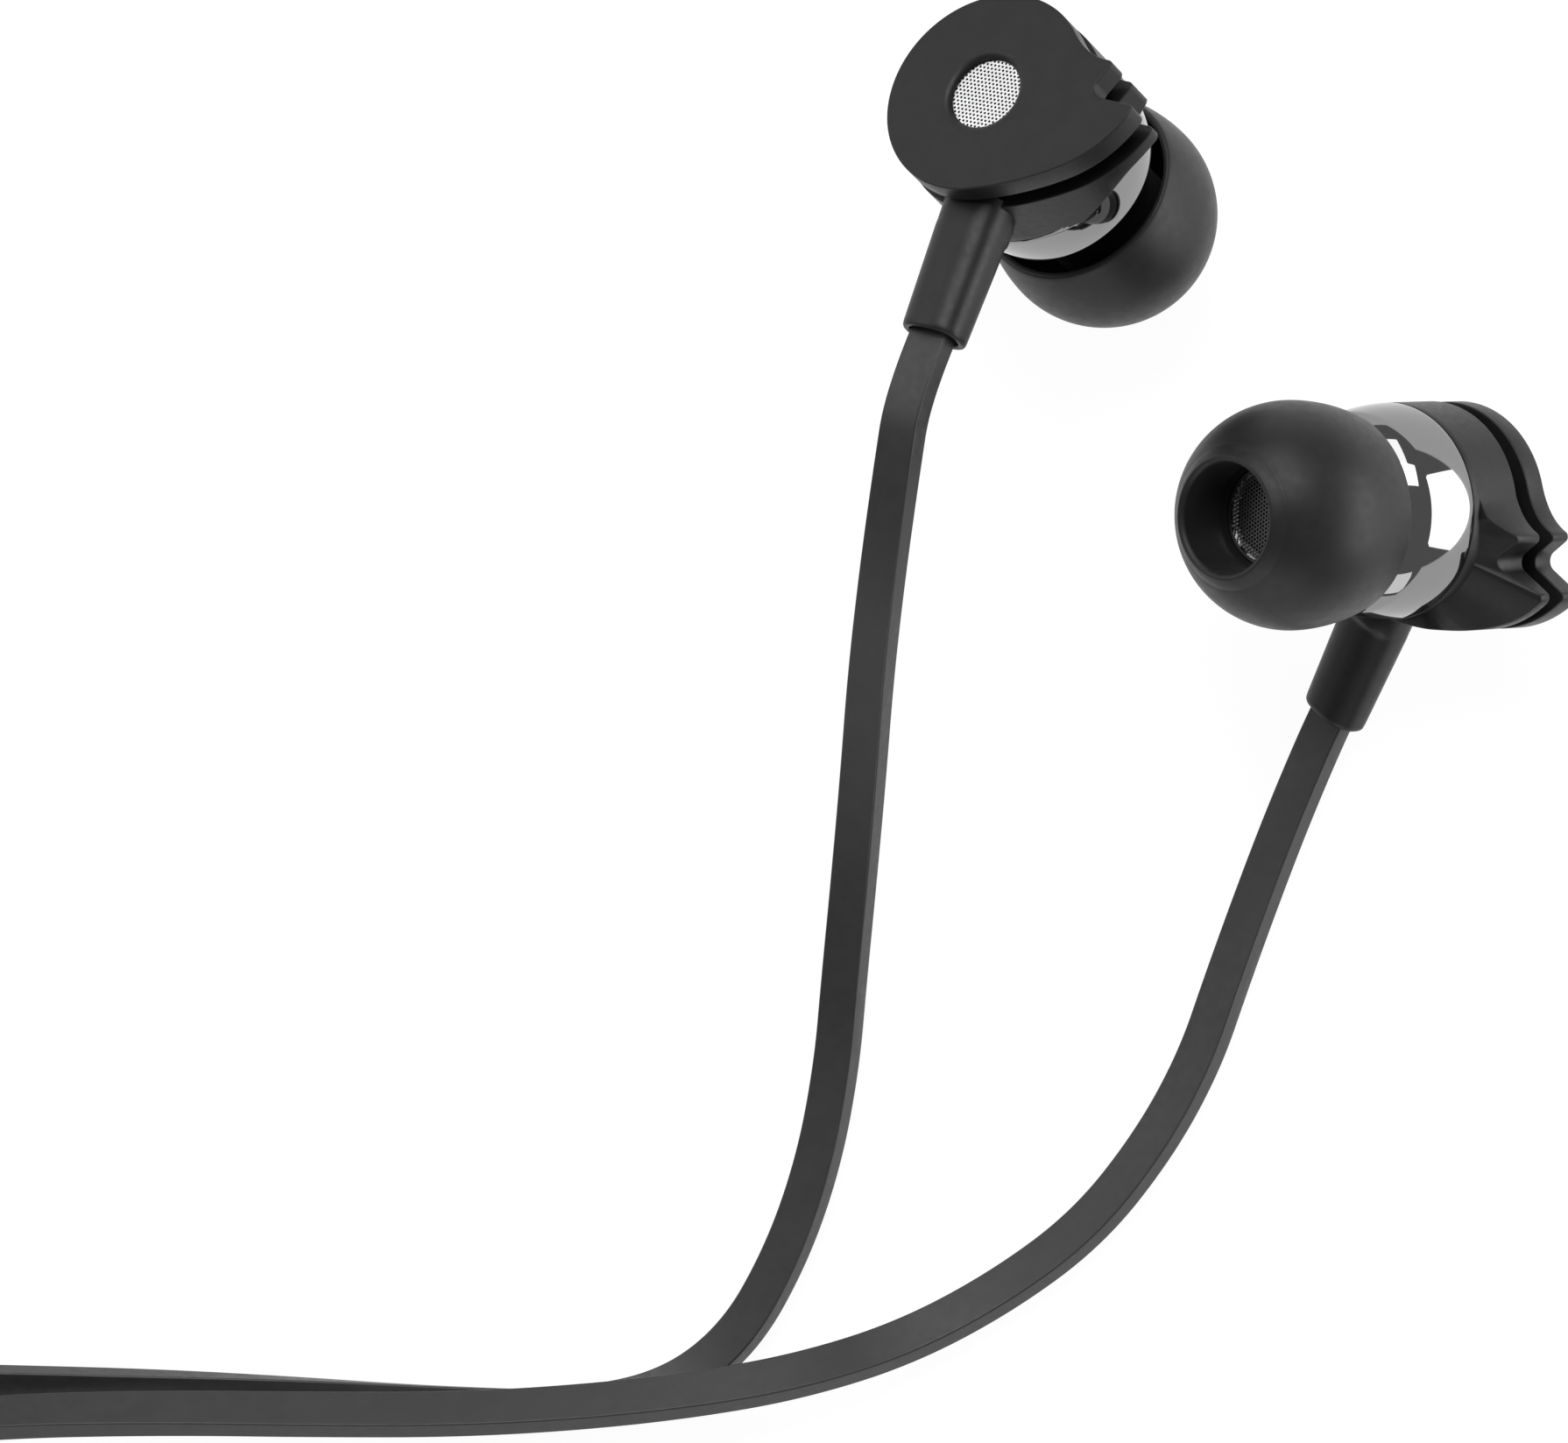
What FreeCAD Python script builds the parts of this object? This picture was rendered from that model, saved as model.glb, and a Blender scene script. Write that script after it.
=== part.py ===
import FreeCAD, Part
import math
import os
import Sketcher
from FreeCAD import Placement, Rotation, Vector

# Wired in-ear earphones: two mirrored earbuds on flat cords that join in a Y-splitter,
# with one main cord, wound up and tied, and a 3.5 mm three-pole plug. Millimetres and degrees.
#
# Each earbud is drawn in its own frame: Z along the nozzle from the outer face of the back
# cover towards the ear, Y away from the stem, X across, with the two hooks of the leaf-shaped
# cover on the right earbud's +X side and the left earbud's -X side. A pose then lays it down.
# The whole stands on z = 0, with the origin under the middle of the two earbuds.

SIZES = {
    # leaf-shaped outline of the back cover and of the rear housing's flange
    "leaf_setback": 0.05,
    "leaf_upper_angle": 47.0,
    "leaf_lower_angle": -75.0,
    "hook_one_reach": 1.38,
    "hook_one_y": 3.1,
    "hook_two_reach": 3.6,
    "hook_two_y": 0.78,
    "hook_drop": 0.42,
    "hook_round": 0.32,
    "notch_reach": 0.52,
    "notch_y": 0.9,
    "notch_round": 0.6,
    "brow_length": 0.55,
    "cheek_lean": 17.5,
    # back cover
    "plate_thickness": 1.38,
    "groove_width": 1.12,
    "neck_radius": 5.0,
    "spigot_radius": 4.2,
    "spigot_length": 0.8,
    "grille_radius": 2.6,
    "grille_thickness": 0.15,
    "grille_depth": 0.35,
    "grille_window_radius": 2.05,
    "grille_bevel": 0.25,
    "back_damper_thickness": 0.5,
    # housings
    "rear_housing_length": 3.7,
    "rear_wall": 0.45,
    "rear_side_wall": 0.75,
    "slope_start_x": 5.45,
    "slope_start_gap": 0.5,
    "slope_angle": 38.0,
    "flange_tip": 0.75,
    "joint_lap": 0.8,
    "joint_wall": 0.37,
    "joint_clearance": 0.03,
    "front_wall": 0.25,
    "barrel_length": 3.2,
    "barrel_taper": 0.45,
    "barrel_bulge": 14.0,
    "shoulder_length": 1.6,
    "shoulder_round": 3.4,
    "nozzle_root_radius": 2.5,
    "nozzle_bead_rise": 0.25,
    "nozzle_bead_length": 0.9,
    "nozzle_wall": 0.4,
    "nozzle_bore_setback": 0.53,
    "nozzle_length": 5.66,
    "mesh_seat_rim": 0.25,
    "mesh_seat_depth": 0.16,
    "mesh_thickness": 0.1,
    "mesh_clearance": 0.02,
    "nozzle_damper_thickness": 0.6,
    # ear tip
    "tip_radius": 6.25,
    "tip_stand_off": 0.51,
    "tip_wall": 0.7,
    "tip_mouth_radius": 3.0,
    "tip_lip_height": 0.618,
    "tip_lip_radius": 4.0,
    "tip_lip_round": 1.2,
    "tip_skirt_length": 3.5,
    "tip_skirt_draw": 0.53,
    "tip_rim_thickness": 0.5,
    "tip_core_wall": 0.8,
    "tip_core_gap": 0.35,
    "tip_fit_clearance": 0.05,
    # driver
    "driver_clearance": 0.1,
    "driver_frame_width": 1.3,
    "driver_frame_wall": 0.45,
    "driver_frame_base": 0.5,
    "driver_frame_rise": 0.7,
    "yoke_gap": 0.14,
    "yoke_wall": 0.4,
    "yoke_base": 0.7,
    "magnet_radius": 2.9,
    "magnet_height": 1.4,
    "pole_overhang": 0.1,
    "pole_height": 0.6,
    "voice_coil_gap": 0.12,
    "voice_coil_wall": 0.24,
    "voice_coil_height": 1.75,
    "voice_coil_drop": 0.05,
    "diaphragm_rise": 0.7,
    "diaphragm_thickness": 0.12,
    "diaphragm_clearance": 0.15,
    "gasket_height": 0.5,
    "gasket_width": 0.45,
    "gasket_clearance": 0.05,
    "board_radius": 3.4,
    "board_thickness": 0.5,
    "board_gap": 1.1,
    "lead_radius": 0.18,
    "lead_spacing": 0.8,
    "lead_end_y": 2.7,
    # stem with strain relief
    "stem_width": 3.7,
    "stem_depth": 3.2,
    "stem_round_outer": 1.4,
    "stem_round_inner": 0.8,
    "stem_offset": 0.8,
    "stem_rise": 1.3,
    "stem_drop": 0.42,
    "stem_reach": 13.15,
    "stem_root": 5.05,
    "stem_spigot_width": 2.8,
    "stem_spigot_depth": 1.7,
    "stem_spigot_start": 4.4,
    "stem_collar_reach": 7.1,
    "stem_collar_lip": 0.25,
    "stem_recess_depth": 1.2,
    "stem_recess_gap": 0.12,
    "stem_wire_slot": 0.5,
    # poses: heading and rise of the nozzle, turn about it, and the ear tip's place on the table
    "left_heading": -40.97,
    "left_rise": -51.44,
    "left_turn": -22.13,
    "left_x": -6.89,
    "left_y": 8.66,
    "right_heading": -176.29,
    "right_rise": 46.15,
    "right_turn": 141.75,
    "right_x": 2.86,
    "right_y": -8.12,
    # flat cords
    "branch_width": 2.35,
    "branch_thickness": 1.2,
    "main_width": 2.6,
    "main_thickness": 1.2,
    "left_exit_run": 4.5,
    "right_exit_run": 1.9,
    # put-away turns about one centre: a loop of each branch, and the main cord's coil inside them
    "coil_x": -100.5,
    "coil_y": -26.1,
    "loop_height": 1.25,
    "loop_radius": 32.2,
    "loop_spacing": 2.7,
    "loop_pitch": 6.6,
    "coil_radius": 18.2,
    "coil_pitch": 1.8,
    "coil_turns": 4,
    "coil_layer_step": 3.25,
    "coil_climb_room": 0.85,
    # Y-splitter
    "splitter_length": 12.0,
    "splitter_width": 6.3,
    "splitter_neck_width": 2.6,
    "splitter_height": 3.7,
    "splitter_straight": 4.5,
    "splitter_corner": 0.5,
    "splitter_edge": 0.35,
    # ties round the coil
    "tie_thickness": 0.5,
    "tie_width": 4.0,
    "tie_gap": 0.1,
    # plug
    "plug_distance": 30.5,
    "plug_relief_length": 5.0,
    "plug_relief_radius": 1.75,
    "plug_relief_root_radius": 2.3,
    "plug_grip_radius": 3.2,
    "plug_grip_length": 12.6,
    "plug_grip_bevel": 0.6,
    "plug_collar_radius": 2.7,
    "plug_collar_length": 0.9,
    "plug_shaft_radius": 1.75,
    "plug_core_radius": 0.8,
    "plug_insulation": 0.3,
    "plug_sleeve_length": 6.6,
    "plug_insulator_length": 0.6,
    "plug_ring_length": 2.0,
    "plug_tip_length": 4.2,
    "plug_tip_straight": 0.8,
    "plug_tip_neck_radius": 1.25,
    "plug_tip_bulb_radius": 1.6,
    "plug_tip_cone": 1.1,
    "plug_tip_point": 0.5,
    # how far a cut runs past what it cuts
    "cut_margin": 1.0,
}

# Shares and tolerances that are not sizes of the object
ARC_SHARE = 0.45
TOUCH_DETAIL = 0.02
NEARLY_NOTHING = 1e-6
GAP_PLANES = 12
GAP_POINTS = 28

# Places that the two cords pass between their earbuds and their turns, chosen by hand
LEFT_ROUTE = [
    (-18.5, -5.9, 18.6),
    (-19.2, -11.1, 16.0),
    (-19.8, -16.7, 11.5),
    (-20.2, -22.5, 7.0),
    (-20.7, -28.4, 3.4),
    (-21.2, -33.7, 1.7),
    (-21.6, -38.4, 1.25),
    (-22.6, -43.8, 1.25),
    (-24.4, -49.0, 1.25),
    (-27.3, -53.5, 1.25),
    (-31.5, -56.3, 1.25),
    (-37.0, -57.2, 1.25),
    (-43.8, -57.3, 1.25),
    (-52.1, -57.0, 1.25),
    (-60.4, -56.6, 1.25),
    (-68.2, -56.4, 1.25),
    (-76.4, -56.2, 1.25),
    (-84.8, -55.9, 1.25),
    (-93.0, -55.6, 1.25),
]
RIGHT_ROUTE = [
    (3.6, -24.4, 1.42),
    (1.8, -29.1, 1.42),
    (0.1, -33.8, 1.42),
    (-1.4, -38.2, 1.42),
    (-3.9, -42.8, 1.42),
    (-7.6, -47.5, 1.42),
    (-12.5, -51.1, 1.5),
    (-17.9, -53.9, 2.1),
    (-23.7, -55.6, 3.45),
    (-29.5, -56.6, 3.85),
    (-35.9, -57.4, 3.85),
    (-42.8, -57.9, 3.72),
    (-50.5, -58.0, 3.72),
    (-58.8, -57.9, 3.72),
    (-68.0, -58.0, 3.55),
    (-75.6, -58.6, 3.1),
    (-83.8, -58.9, 2.0),
    (-92.4, -58.3, 1.25),
]
TAIL_ROUTE = [
    (-19.3, 10.8, 4.95),
    (-19.7, 15.8, 4.6),
    (-19.6, 20.8, 4.2),
    (-19.3, 25.3, 4.1),
]


class Size:
    """A number together with the spreadsheet expression that gives it."""

    def __init__(self, value, text=None):
        self.value = value
        self.text = text if text is not None else "%g" % value

    def __add__(self, other):
        other = as_size(other)
        return Size(self.value + other.value, "(%s + %s)" % (self.text, other.text))

    def __sub__(self, other):
        other = as_size(other)
        return Size(self.value - other.value, "(%s - %s)" % (self.text, other.text))

    def __mul__(self, other):
        other = as_size(other)
        return Size(self.value * other.value, "(%s * %s)" % (self.text, other.text))

    def __truediv__(self, other):
        other = as_size(other)
        return Size(self.value / other.value, "(%s / %s)" % (self.text, other.text))

    def root(self):
        return Size(math.sqrt(self.value), "sqrt(%s)" % self.text)


def as_size(number):
    return number if isinstance(number, Size) else Size(float(number))


class Dimensions:
    """Reads a driving dimension as a Size: d.tip_radius."""

    def __getattr__(self, name):
        return Size(float(getattr(sheet, name)), "sizes." + name)


def pole_radius():
    return d.magnet_radius + d.pole_overhang


def voice_coil_radius():
    return pole_radius() + d.voice_coil_gap + d.voice_coil_wall


def yoke_radius():
    return voice_coil_radius() + d.yoke_gap + d.yoke_wall


def driver_frame_radius():
    return yoke_radius() + d.driver_frame_width


def front_inner_radius():
    return driver_frame_radius() + d.driver_clearance


def joint_radius():
    return front_inner_radius() + d.front_wall


def housing_radius():
    return joint_radius() + d.joint_clearance + d.joint_wall


def leaf_radius():
    return housing_radius() - d.leaf_setback


def nozzle_bead_radius():
    return d.nozzle_root_radius + d.nozzle_bead_rise


def tip_bore():
    return nozzle_bead_radius() + d.tip_fit_clearance


def housing_low():
    return d.plate_thickness + d.groove_width


def housing_high():
    return housing_low() + d.rear_housing_length


def shoulder_end():
    return housing_high() + d.barrel_length + d.shoulder_length


def nozzle_end():
    return shoulder_end() + d.nozzle_length


def stem_height():
    return housing_low() + d.stem_rise


def stem_middle():
    return stem_height() - d.stem_drop


def tip_centre():
    return shoulder_end() + d.tip_stand_off - d.tip_core_gap + d.tip_skirt_length


def driver_base():
    return housing_low() + d.spigot_length + d.board_gap + d.board_thickness


def driver_floor():
    return driver_base() + d.yoke_base


def pole_top():
    return driver_floor() + d.magnet_height + d.pole_height


def driver_frame_top():
    return pole_top() + d.driver_frame_rise


def fill_sheet():
    for row, (name, value) in enumerate(SIZES.items(), start=1):
        sheet.set("A%d" % row, name)
        sheet.set("B%d" % row, "%g" % value)
        sheet.setAlias("B%d" % row, name)
    doc.recompute()


doc = FreeCAD.newDocument("earphones")
sheet = doc.addObject("Spreadsheet::Sheet", "sizes")
d = Dimensions()
nodes = {}


def bind(target, prop, length):
    """Sets a property, and ties it to the sheet where the length comes from there."""
    length = as_size(length)
    setattr(target, prop, length.value)
    if "sizes." in length.text:
        target.setExpression(prop, length.text)


def origin_plane(body, role):
    return next(part for part in body.Origin.OriginFeatures if part.Role == role)


def new_sketch(body, name, role, offset=None):
    """A sketch on one of the body's own planes, moved along the plane's normal by offset."""
    sketch = body.newObject("Sketcher::SketchObject", name)
    sketch.AttachmentSupport = [(origin_plane(body, role), "")]
    sketch.MapMode = "FlatFace"
    if offset is not None:
        offset = as_size(offset)
        sketch.AttachmentOffset = Placement(Vector(0, 0, offset.value), Rotation())
        sketch.setExpression("AttachmentOffset.Base.z", offset.text)
    return sketch


def draw_profile(sketch, corners):
    """Closed outline through corners (x, y) or (x, y, radius, side), each bound to the sheet.

    A radius makes the edge to the next corner an arc: side +1 has its centre to the left of the
    way from corner to corner, side -1 to the right.
    """
    points = [Vector(as_size(c[0]).value, as_size(c[1]).value, 0) for c in corners]
    count = len(corners)
    for index, corner in enumerate(corners):
        start = points[index]
        end = points[(index + 1) % count]
        if len(corner) == 2:
            sketch.addGeometry(Part.LineSegment(start, end))
        else:
            middle = arc_middle(start, end, as_size(corner[2]).value, corner[3])
            sketch.addGeometry(Part.Arc(start, middle, end))
    ends = []
    for index, corner in enumerate(corners):
        is_reversed = len(corner) > 2 and corner[3] < 0
        ends.append((2, 1) if is_reversed else (1, 2))
    for index in range(count):
        following = (index + 1) % count
        sketch.addConstraint(
            Sketcher.Constraint("Coincident", index, ends[index][1], following, ends[following][0]))
    for index, corner in enumerate(corners):
        for kind, length in (("DistanceX", corner[0]), ("DistanceY", corner[1])):
            length = as_size(length)
            place = Sketcher.Constraint(kind, -1, 1, index, ends[index][0], length.value)
            number = sketch.addConstraint(place)
            if "sizes." in length.text:
                sketch.setExpression("Constraints[%d]" % number, length.text)
        if len(corner) > 2:
            radius = as_size(corner[2])
            number = sketch.addConstraint(Sketcher.Constraint("Radius", index, radius.value))
            if "sizes." in radius.text:
                sketch.setExpression("Constraints[%d]" % number, radius.text)


def arc_middle(start, end, radius, side):
    """Middle point of the shorter arc of this radius from start to end."""
    chord = end - start
    left = Vector(-chord.y, chord.x, 0)
    left.normalize()
    to_centre = math.sqrt(max(radius ** 2 - (chord.Length / 2) ** 2, 0.0))
    return (start + end) * 0.5 - left * side * (radius - to_centre)


def turned(name, corners):
    """A body of revolution about Z from a profile of (radius, height) corners."""
    body = doc.addObject("PartDesign::Body", name)
    sketch = new_sketch(body, name + "_profile", "XZ_Plane")
    draw_profile(sketch, corners)
    revolve(body, sketch, "PartDesign::Revolution", name + "_turn")
    return body


def revolve(body, sketch, kind, name):
    feature = body.newObject(kind, name)
    feature.Profile = sketch
    feature.ReferenceAxis = (sketch, ["V_Axis"])
    feature.Angle = 360
    return feature


def disc(name, radius, low, high, bore=None):
    """A flat disc or ring between two heights."""
    inner = bore if bore is not None else 0
    return turned(name, [(inner, low), (radius, low), (radius, high), (inner, high)])


def tangent_arcs(start, heading, end, end_heading):
    """Two arcs that leave start along heading and reach end along end_heading."""
    way = end - start
    both = heading + end_heading
    spread = 2 * (1 - heading.dot(end_heading))
    reach = way.dot(both)
    if spread < NEARLY_NOTHING:
        length = way.dot(way) / (2 * reach)
    else:
        length = (math.sqrt(reach ** 2 + spread * way.dot(way)) - reach) / spread
    first = start + heading * length
    second = end - end_heading * length
    joint = (first + second) * 0.5
    return [corner_arc(start, first, joint), corner_arc(joint, second, end)]


def corner_arc(start, corner, end):
    """The arc from start to end that is tangent to the lines from both to the corner."""
    chord_middle = (start + end) * 0.5
    half_chord = (end - start).Length / 2
    depth = (corner - chord_middle).Length
    if depth < NEARLY_NOTHING:
        return Part.LineSegment(start, end)
    bulge = half_chord * math.tan(math.atan2(depth, half_chord) / 2)
    return Part.Arc(start, chord_middle + (corner - chord_middle) * (bulge / depth), end)


def rounded_corner(before, corner, after, radius):
    """Tangent points and arc that round a corner between two straight edges."""
    back = (before - corner).normalize()
    ahead = (after - corner).normalize()
    half = math.acos(max(-1.0, min(1.0, back.dot(ahead)))) / 2
    cut = radius / math.tan(half)
    start = corner + back * cut
    end = corner + ahead * cut
    return start, corner_arc(start, corner, end), end


def polar(radius, angle, side=1):
    """A point of the XY plane, mirrored across the Y axis where side is -1."""
    turn = math.radians(angle)
    return Vector(side * radius * math.cos(turn), radius * math.sin(turn), 0)


def leaf_outline(side):
    """Edges of the leaf: a circle that runs out into two hooks with a round notch between."""
    radius = leaf_radius().value
    upper_angle = d.leaf_upper_angle.value
    lower_angle = d.leaf_lower_angle.value
    upper = polar(radius, upper_angle, side)
    lower = polar(radius, lower_angle, side)
    hook_one = Vector(side * (radius + d.hook_one_reach.value), d.hook_one_y.value, 0)
    hook_two = Vector(side * (radius + d.hook_two_reach.value), d.hook_two_y.value, 0)
    notch = Vector(side * (radius + d.notch_reach.value), d.notch_y.value, 0)
    brow = hook_one - Vector(side * d.brow_length.value, 0, 0)
    cheek = hook_two - Vector(0, d.hook_drop.value, 0)
    tip_round = d.hook_round.value
    one_in, one_arc, one_out = rounded_corner(brow, hook_one, notch, tip_round)
    notch_in, notch_arc, notch_out = rounded_corner(hook_one, notch, hook_two, d.notch_round.value)
    two_in, two_arc, two_out = rounded_corner(notch, hook_two, cheek, tip_round)
    edges = tangent_arcs(upper, polar(1, upper_angle - 90, side), brow, Vector(side, 0, 0))
    edges.append(Part.LineSegment(brow, one_in))
    edges.append(one_arc)
    edges.append(Part.LineSegment(one_out, notch_in))
    edges.append(notch_arc)
    edges.append(Part.LineSegment(notch_out, two_in))
    edges.append(two_arc)
    edges.append(Part.LineSegment(two_out, cheek))
    cheek_heading = polar(1, -90 - d.cheek_lean.value, side)
    edges.extend(tangent_arcs(cheek, cheek_heading, lower, polar(1, lower_angle - 90, side)))
    far_side = polar(radius, (upper_angle + lower_angle) / 2 + 180, side)
    edges.append(Part.Arc(lower, far_side, upper))
    return edges


def pad(body, sketch, name, length, is_reversed=False):
    feature = body.newObject("PartDesign::Pad", name)
    feature.Profile = sketch
    bind(feature, "Length", length)
    feature.Reversed = is_reversed
    return feature


def leaf_pad(body, name, side, low, length):
    sketch = new_sketch(body, name + "_leaf", "XY_Plane", low)
    for edge in leaf_outline(side):
        sketch.addGeometry(edge)
    return pad(body, sketch, name + "_pad", length)


def back_cover(name, side):
    """Leaf-shaped plate with a round window, and a neck that plugs into the rear housing."""
    body = doc.addObject("PartDesign::Body", name)
    leaf_pad(body, name, side, 0, d.plate_thickness)
    seat_end = housing_low()
    neck = new_sketch(body, name + "_neck", "XZ_Plane")
    inner = d.grille_radius
    draw_profile(neck, [
        (inner, d.grille_depth + d.grille_thickness),
        (d.neck_radius, d.grille_depth + d.grille_thickness),
        (d.neck_radius, seat_end),
        (d.spigot_radius, seat_end),
        (d.spigot_radius, seat_end + d.spigot_length),
        (inner, seat_end + d.spigot_length)])
    revolve(body, neck, "PartDesign::Revolution", name + "_neck_turn")
    window = new_sketch(body, name + "_window", "XZ_Plane")
    draw_profile(window, [
        (0, 0),
        (d.grille_window_radius + d.grille_bevel, 0),
        (d.grille_window_radius, d.grille_depth),
        (inner, d.grille_depth),
        (inner, d.plate_thickness),
        (0, d.plate_thickness)])
    revolve(body, window, "PartDesign::Groove", name + "_window_turn")
    return body


def housing_hull(name, side):
    """Outer form of the rear housing: a drum with a leaf flange cut back on a slope."""
    body = doc.addObject("PartDesign::Body", name)
    low = housing_low()
    leaf_pad(body, name, side, low, d.rear_housing_length)
    high = housing_high()
    slope_top = high - d.slope_start_gap
    reach = leaf_radius() + d.hook_two_reach + d.cut_margin
    slope_end = d.slope_start_x + (slope_top - low - d.flange_tip) / math.tan(
        math.radians(d.slope_angle.value))
    sketch = new_sketch(body, name + "_slope", "XZ_Plane")
    corners = [
        (d.slope_start_x * side, slope_top),
        (d.slope_start_x * side, high + d.cut_margin),
        (reach * side, high + d.cut_margin),
        (reach * side, low + d.flange_tip),
        (slope_end * side, low + d.flange_tip)]
    draw_profile(sketch, corners)
    cut = body.newObject("PartDesign::Pocket", name + "_slope_cut")
    cut.Profile = sketch
    cut.Midplane = True
    bind(cut, "Length", reach * 2)
    drum = new_sketch(body, name + "_drum", "XZ_Plane")
    radius = housing_radius()
    draw_profile(drum, [(0, low), (radius, low), (radius, high), (0, high)])
    revolve(body, drum, "PartDesign::Revolution", name + "_drum_turn")
    return body, low, high


def rear_housing(name, side):
    """Hollow drum with the flange, open to the front, with a hole for the cover's neck."""
    body, low, high = housing_hull(name, side)
    hollow = new_sketch(body, name + "_hollow", "XZ_Plane")
    inner = housing_radius() - d.rear_side_wall
    mouth = housing_radius() - d.joint_wall
    draw_profile(hollow, [
        (0, low),
        (d.spigot_radius, low),
        (d.spigot_radius, low + d.rear_wall),
        (inner, low + d.rear_wall),
        (inner, high - d.joint_lap),
        (mouth, high - d.joint_lap),
        (mouth, high),
        (0, high)])
    revolve(body, hollow, "PartDesign::Groove", name + "_hollow_turn")
    slot = new_sketch(body, name + "_slot", "XZ_Plane")
    draw_profile(slot, rectangle(
        d.stem_offset * side, stem_height(), d.stem_spigot_width, d.stem_spigot_depth))
    cut = body.newObject("PartDesign::Pocket", name + "_slot_cut")
    cut.Profile = slot
    cut.Reversed = True
    bind(cut, "Length", housing_radius() + d.cut_margin)
    return body


def rectangle(x, y, width, height):
    x = as_size(x)
    y = as_size(y)
    return [
        (x - width / 2, y - height / 2),
        (x + width / 2, y - height / 2),
        (x + width / 2, y + height / 2),
        (x - width / 2, y + height / 2)]


def rounded_block(name, x, y, width, height, start, end, near_round, far_round, side):
    """A block along -Y from start to end whose far edges from the hooks are rounder."""
    body = doc.addObject("PartDesign::Body", name)
    sketch = new_sketch(body, name + "_section", "XZ_Plane", start)
    outer = x - width * side / 2
    inner = x + width * side / 2
    low = y - height / 2
    high = y + height / 2
    draw_profile(sketch, [
        (outer + far_round * side, low),
        (inner - near_round * side, low, near_round, side),
        (inner, low + near_round),
        (inner, high - near_round, near_round, side),
        (inner - near_round * side, high),
        (outer + far_round * side, high, far_round, side),
        (outer, high - far_round),
        (outer, low + far_round, far_round, side)])
    pad(body, sketch, name + "_pad", end - start)
    return body


def strain_relief(name, side):
    """Stem of the earbud: butts on the housing, plugs in by a spigot, and holds the cord."""
    x = d.stem_offset * side
    z = stem_middle()
    stem = rounded_block(name + "_stem", x, z, d.stem_width, d.stem_depth,
                         d.stem_root, d.stem_reach, d.stem_round_inner, d.stem_round_outer, side)
    lip = d.stem_collar_lip
    collar = rounded_block(name + "_collar", x, z + lip / 2,
                           d.stem_width, d.stem_depth + lip, d.stem_root,
                           d.stem_collar_reach, d.stem_round_inner, d.stem_round_outer, side)
    shell = doc.addObject("Part::Fuse", name + "_shell")
    shell.Base = stem
    shell.Tool = collar
    hull, low, high = housing_hull(name + "_seat", side)
    seated = doc.addObject("Part::Cut", name + "_seated")
    seated.Base = shell
    seated.Tool = hull
    spigot = box(name + "_spigot", x, stem_height(), d.stem_spigot_width, d.stem_spigot_depth,
                 d.stem_spigot_start, d.stem_collar_reach)
    joined = doc.addObject("Part::Fuse", name + "_joined")
    joined.Base = seated
    joined.Tool = spigot
    gap = d.stem_recess_gap
    mouth = d.stem_reach - d.stem_recess_depth
    recess = box(name + "_recess", x, z, d.branch_width + gap * 2,
                 d.branch_thickness + gap * 2, mouth, d.stem_reach + d.cut_margin)
    channel = box(name + "_channel", x, stem_height(), d.lead_spacing + d.stem_wire_slot,
                  d.stem_wire_slot, d.stem_spigot_start - d.cut_margin, mouth)
    bores = doc.addObject("Part::Fuse", name + "_bores")
    bores.Base = recess
    bores.Tool = channel
    whole = doc.addObject("Part::Cut", name)
    whole.Base = joined
    whole.Tool = bores
    return whole


def box(name, x, z, width, height, start, end):
    """A block centred on (x, z) that runs along -Y from start to end."""
    block = doc.addObject("Part::Box", name)
    start = as_size(start)
    end = as_size(end)
    bind(block, "Length", width)
    bind(block, "Width", end - start)
    bind(block, "Height", height)
    corner = (x - width / 2, end * -1, z - height / 2)
    block.Placement = Placement(Vector(*[c.value for c in corner]), Rotation())
    for axis, place in zip("xyz", corner):
        block.setExpression("Placement.Base." + axis, place.text)
    return block


def lead_wires(name, side):
    """The two conductors that run from the stem to the terminal board."""
    pair = []
    for number, way in ((1, -1), (2, 1)):
        wire = doc.addObject("Part::Cylinder", "%s_%d" % (name, number))
        bind(wire, "Radius", d.lead_radius)
        length = d.stem_reach - d.stem_recess_depth - d.lead_end_y
        bind(wire, "Height", length)
        place = (d.stem_offset * side + d.lead_spacing * way / 2,
                 d.lead_end_y * -1,
                 stem_height())
        turn = Rotation(Vector(1, 0, 0), 90)
        wire.Placement = Placement(Vector(*[c.value for c in place]), turn)
        for axis, length in zip("xyz", place):
            wire.setExpression("Placement.Base." + axis, length.text)
        pair.append(wire)
    group = doc.addObject("Part::Compound", name)
    group.Links = pair
    return group


def front_housing(name):
    """Bright bell: a barrel and a shoulder that run into the nozzle with its bead."""
    low = housing_high()
    lap = low - d.joint_lap
    end = nozzle_end()
    bead = end - d.nozzle_bead_length
    bead_radius = nozzle_bead_radius()
    bore = d.nozzle_root_radius - d.nozzle_wall
    mesh_seat = bead_radius - d.mesh_seat_rim
    gasket_seat = driver_frame_top() + d.gasket_height
    gasket_lip = driver_frame_radius() - d.gasket_width - d.gasket_clearance
    return turned(name, [
        (front_inner_radius(), lap),
        (joint_radius(), lap),
        (joint_radius(), low),
        (housing_radius(), low, d.barrel_bulge, 1),
        (housing_radius() - d.barrel_taper, low + d.barrel_length, d.shoulder_round, 1),
        (d.nozzle_root_radius, shoulder_end()),
        (d.nozzle_root_radius, bead - d.nozzle_bead_rise),
        (bead_radius, bead),
        (bead_radius, end),
        (mesh_seat, end),
        (mesh_seat, end - d.mesh_seat_depth),
        (bore, end - d.mesh_seat_depth),
        (bore, shoulder_end() - d.nozzle_bore_setback),
        (gasket_lip, gasket_seat),
        (front_inner_radius(), gasket_seat)])


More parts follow.
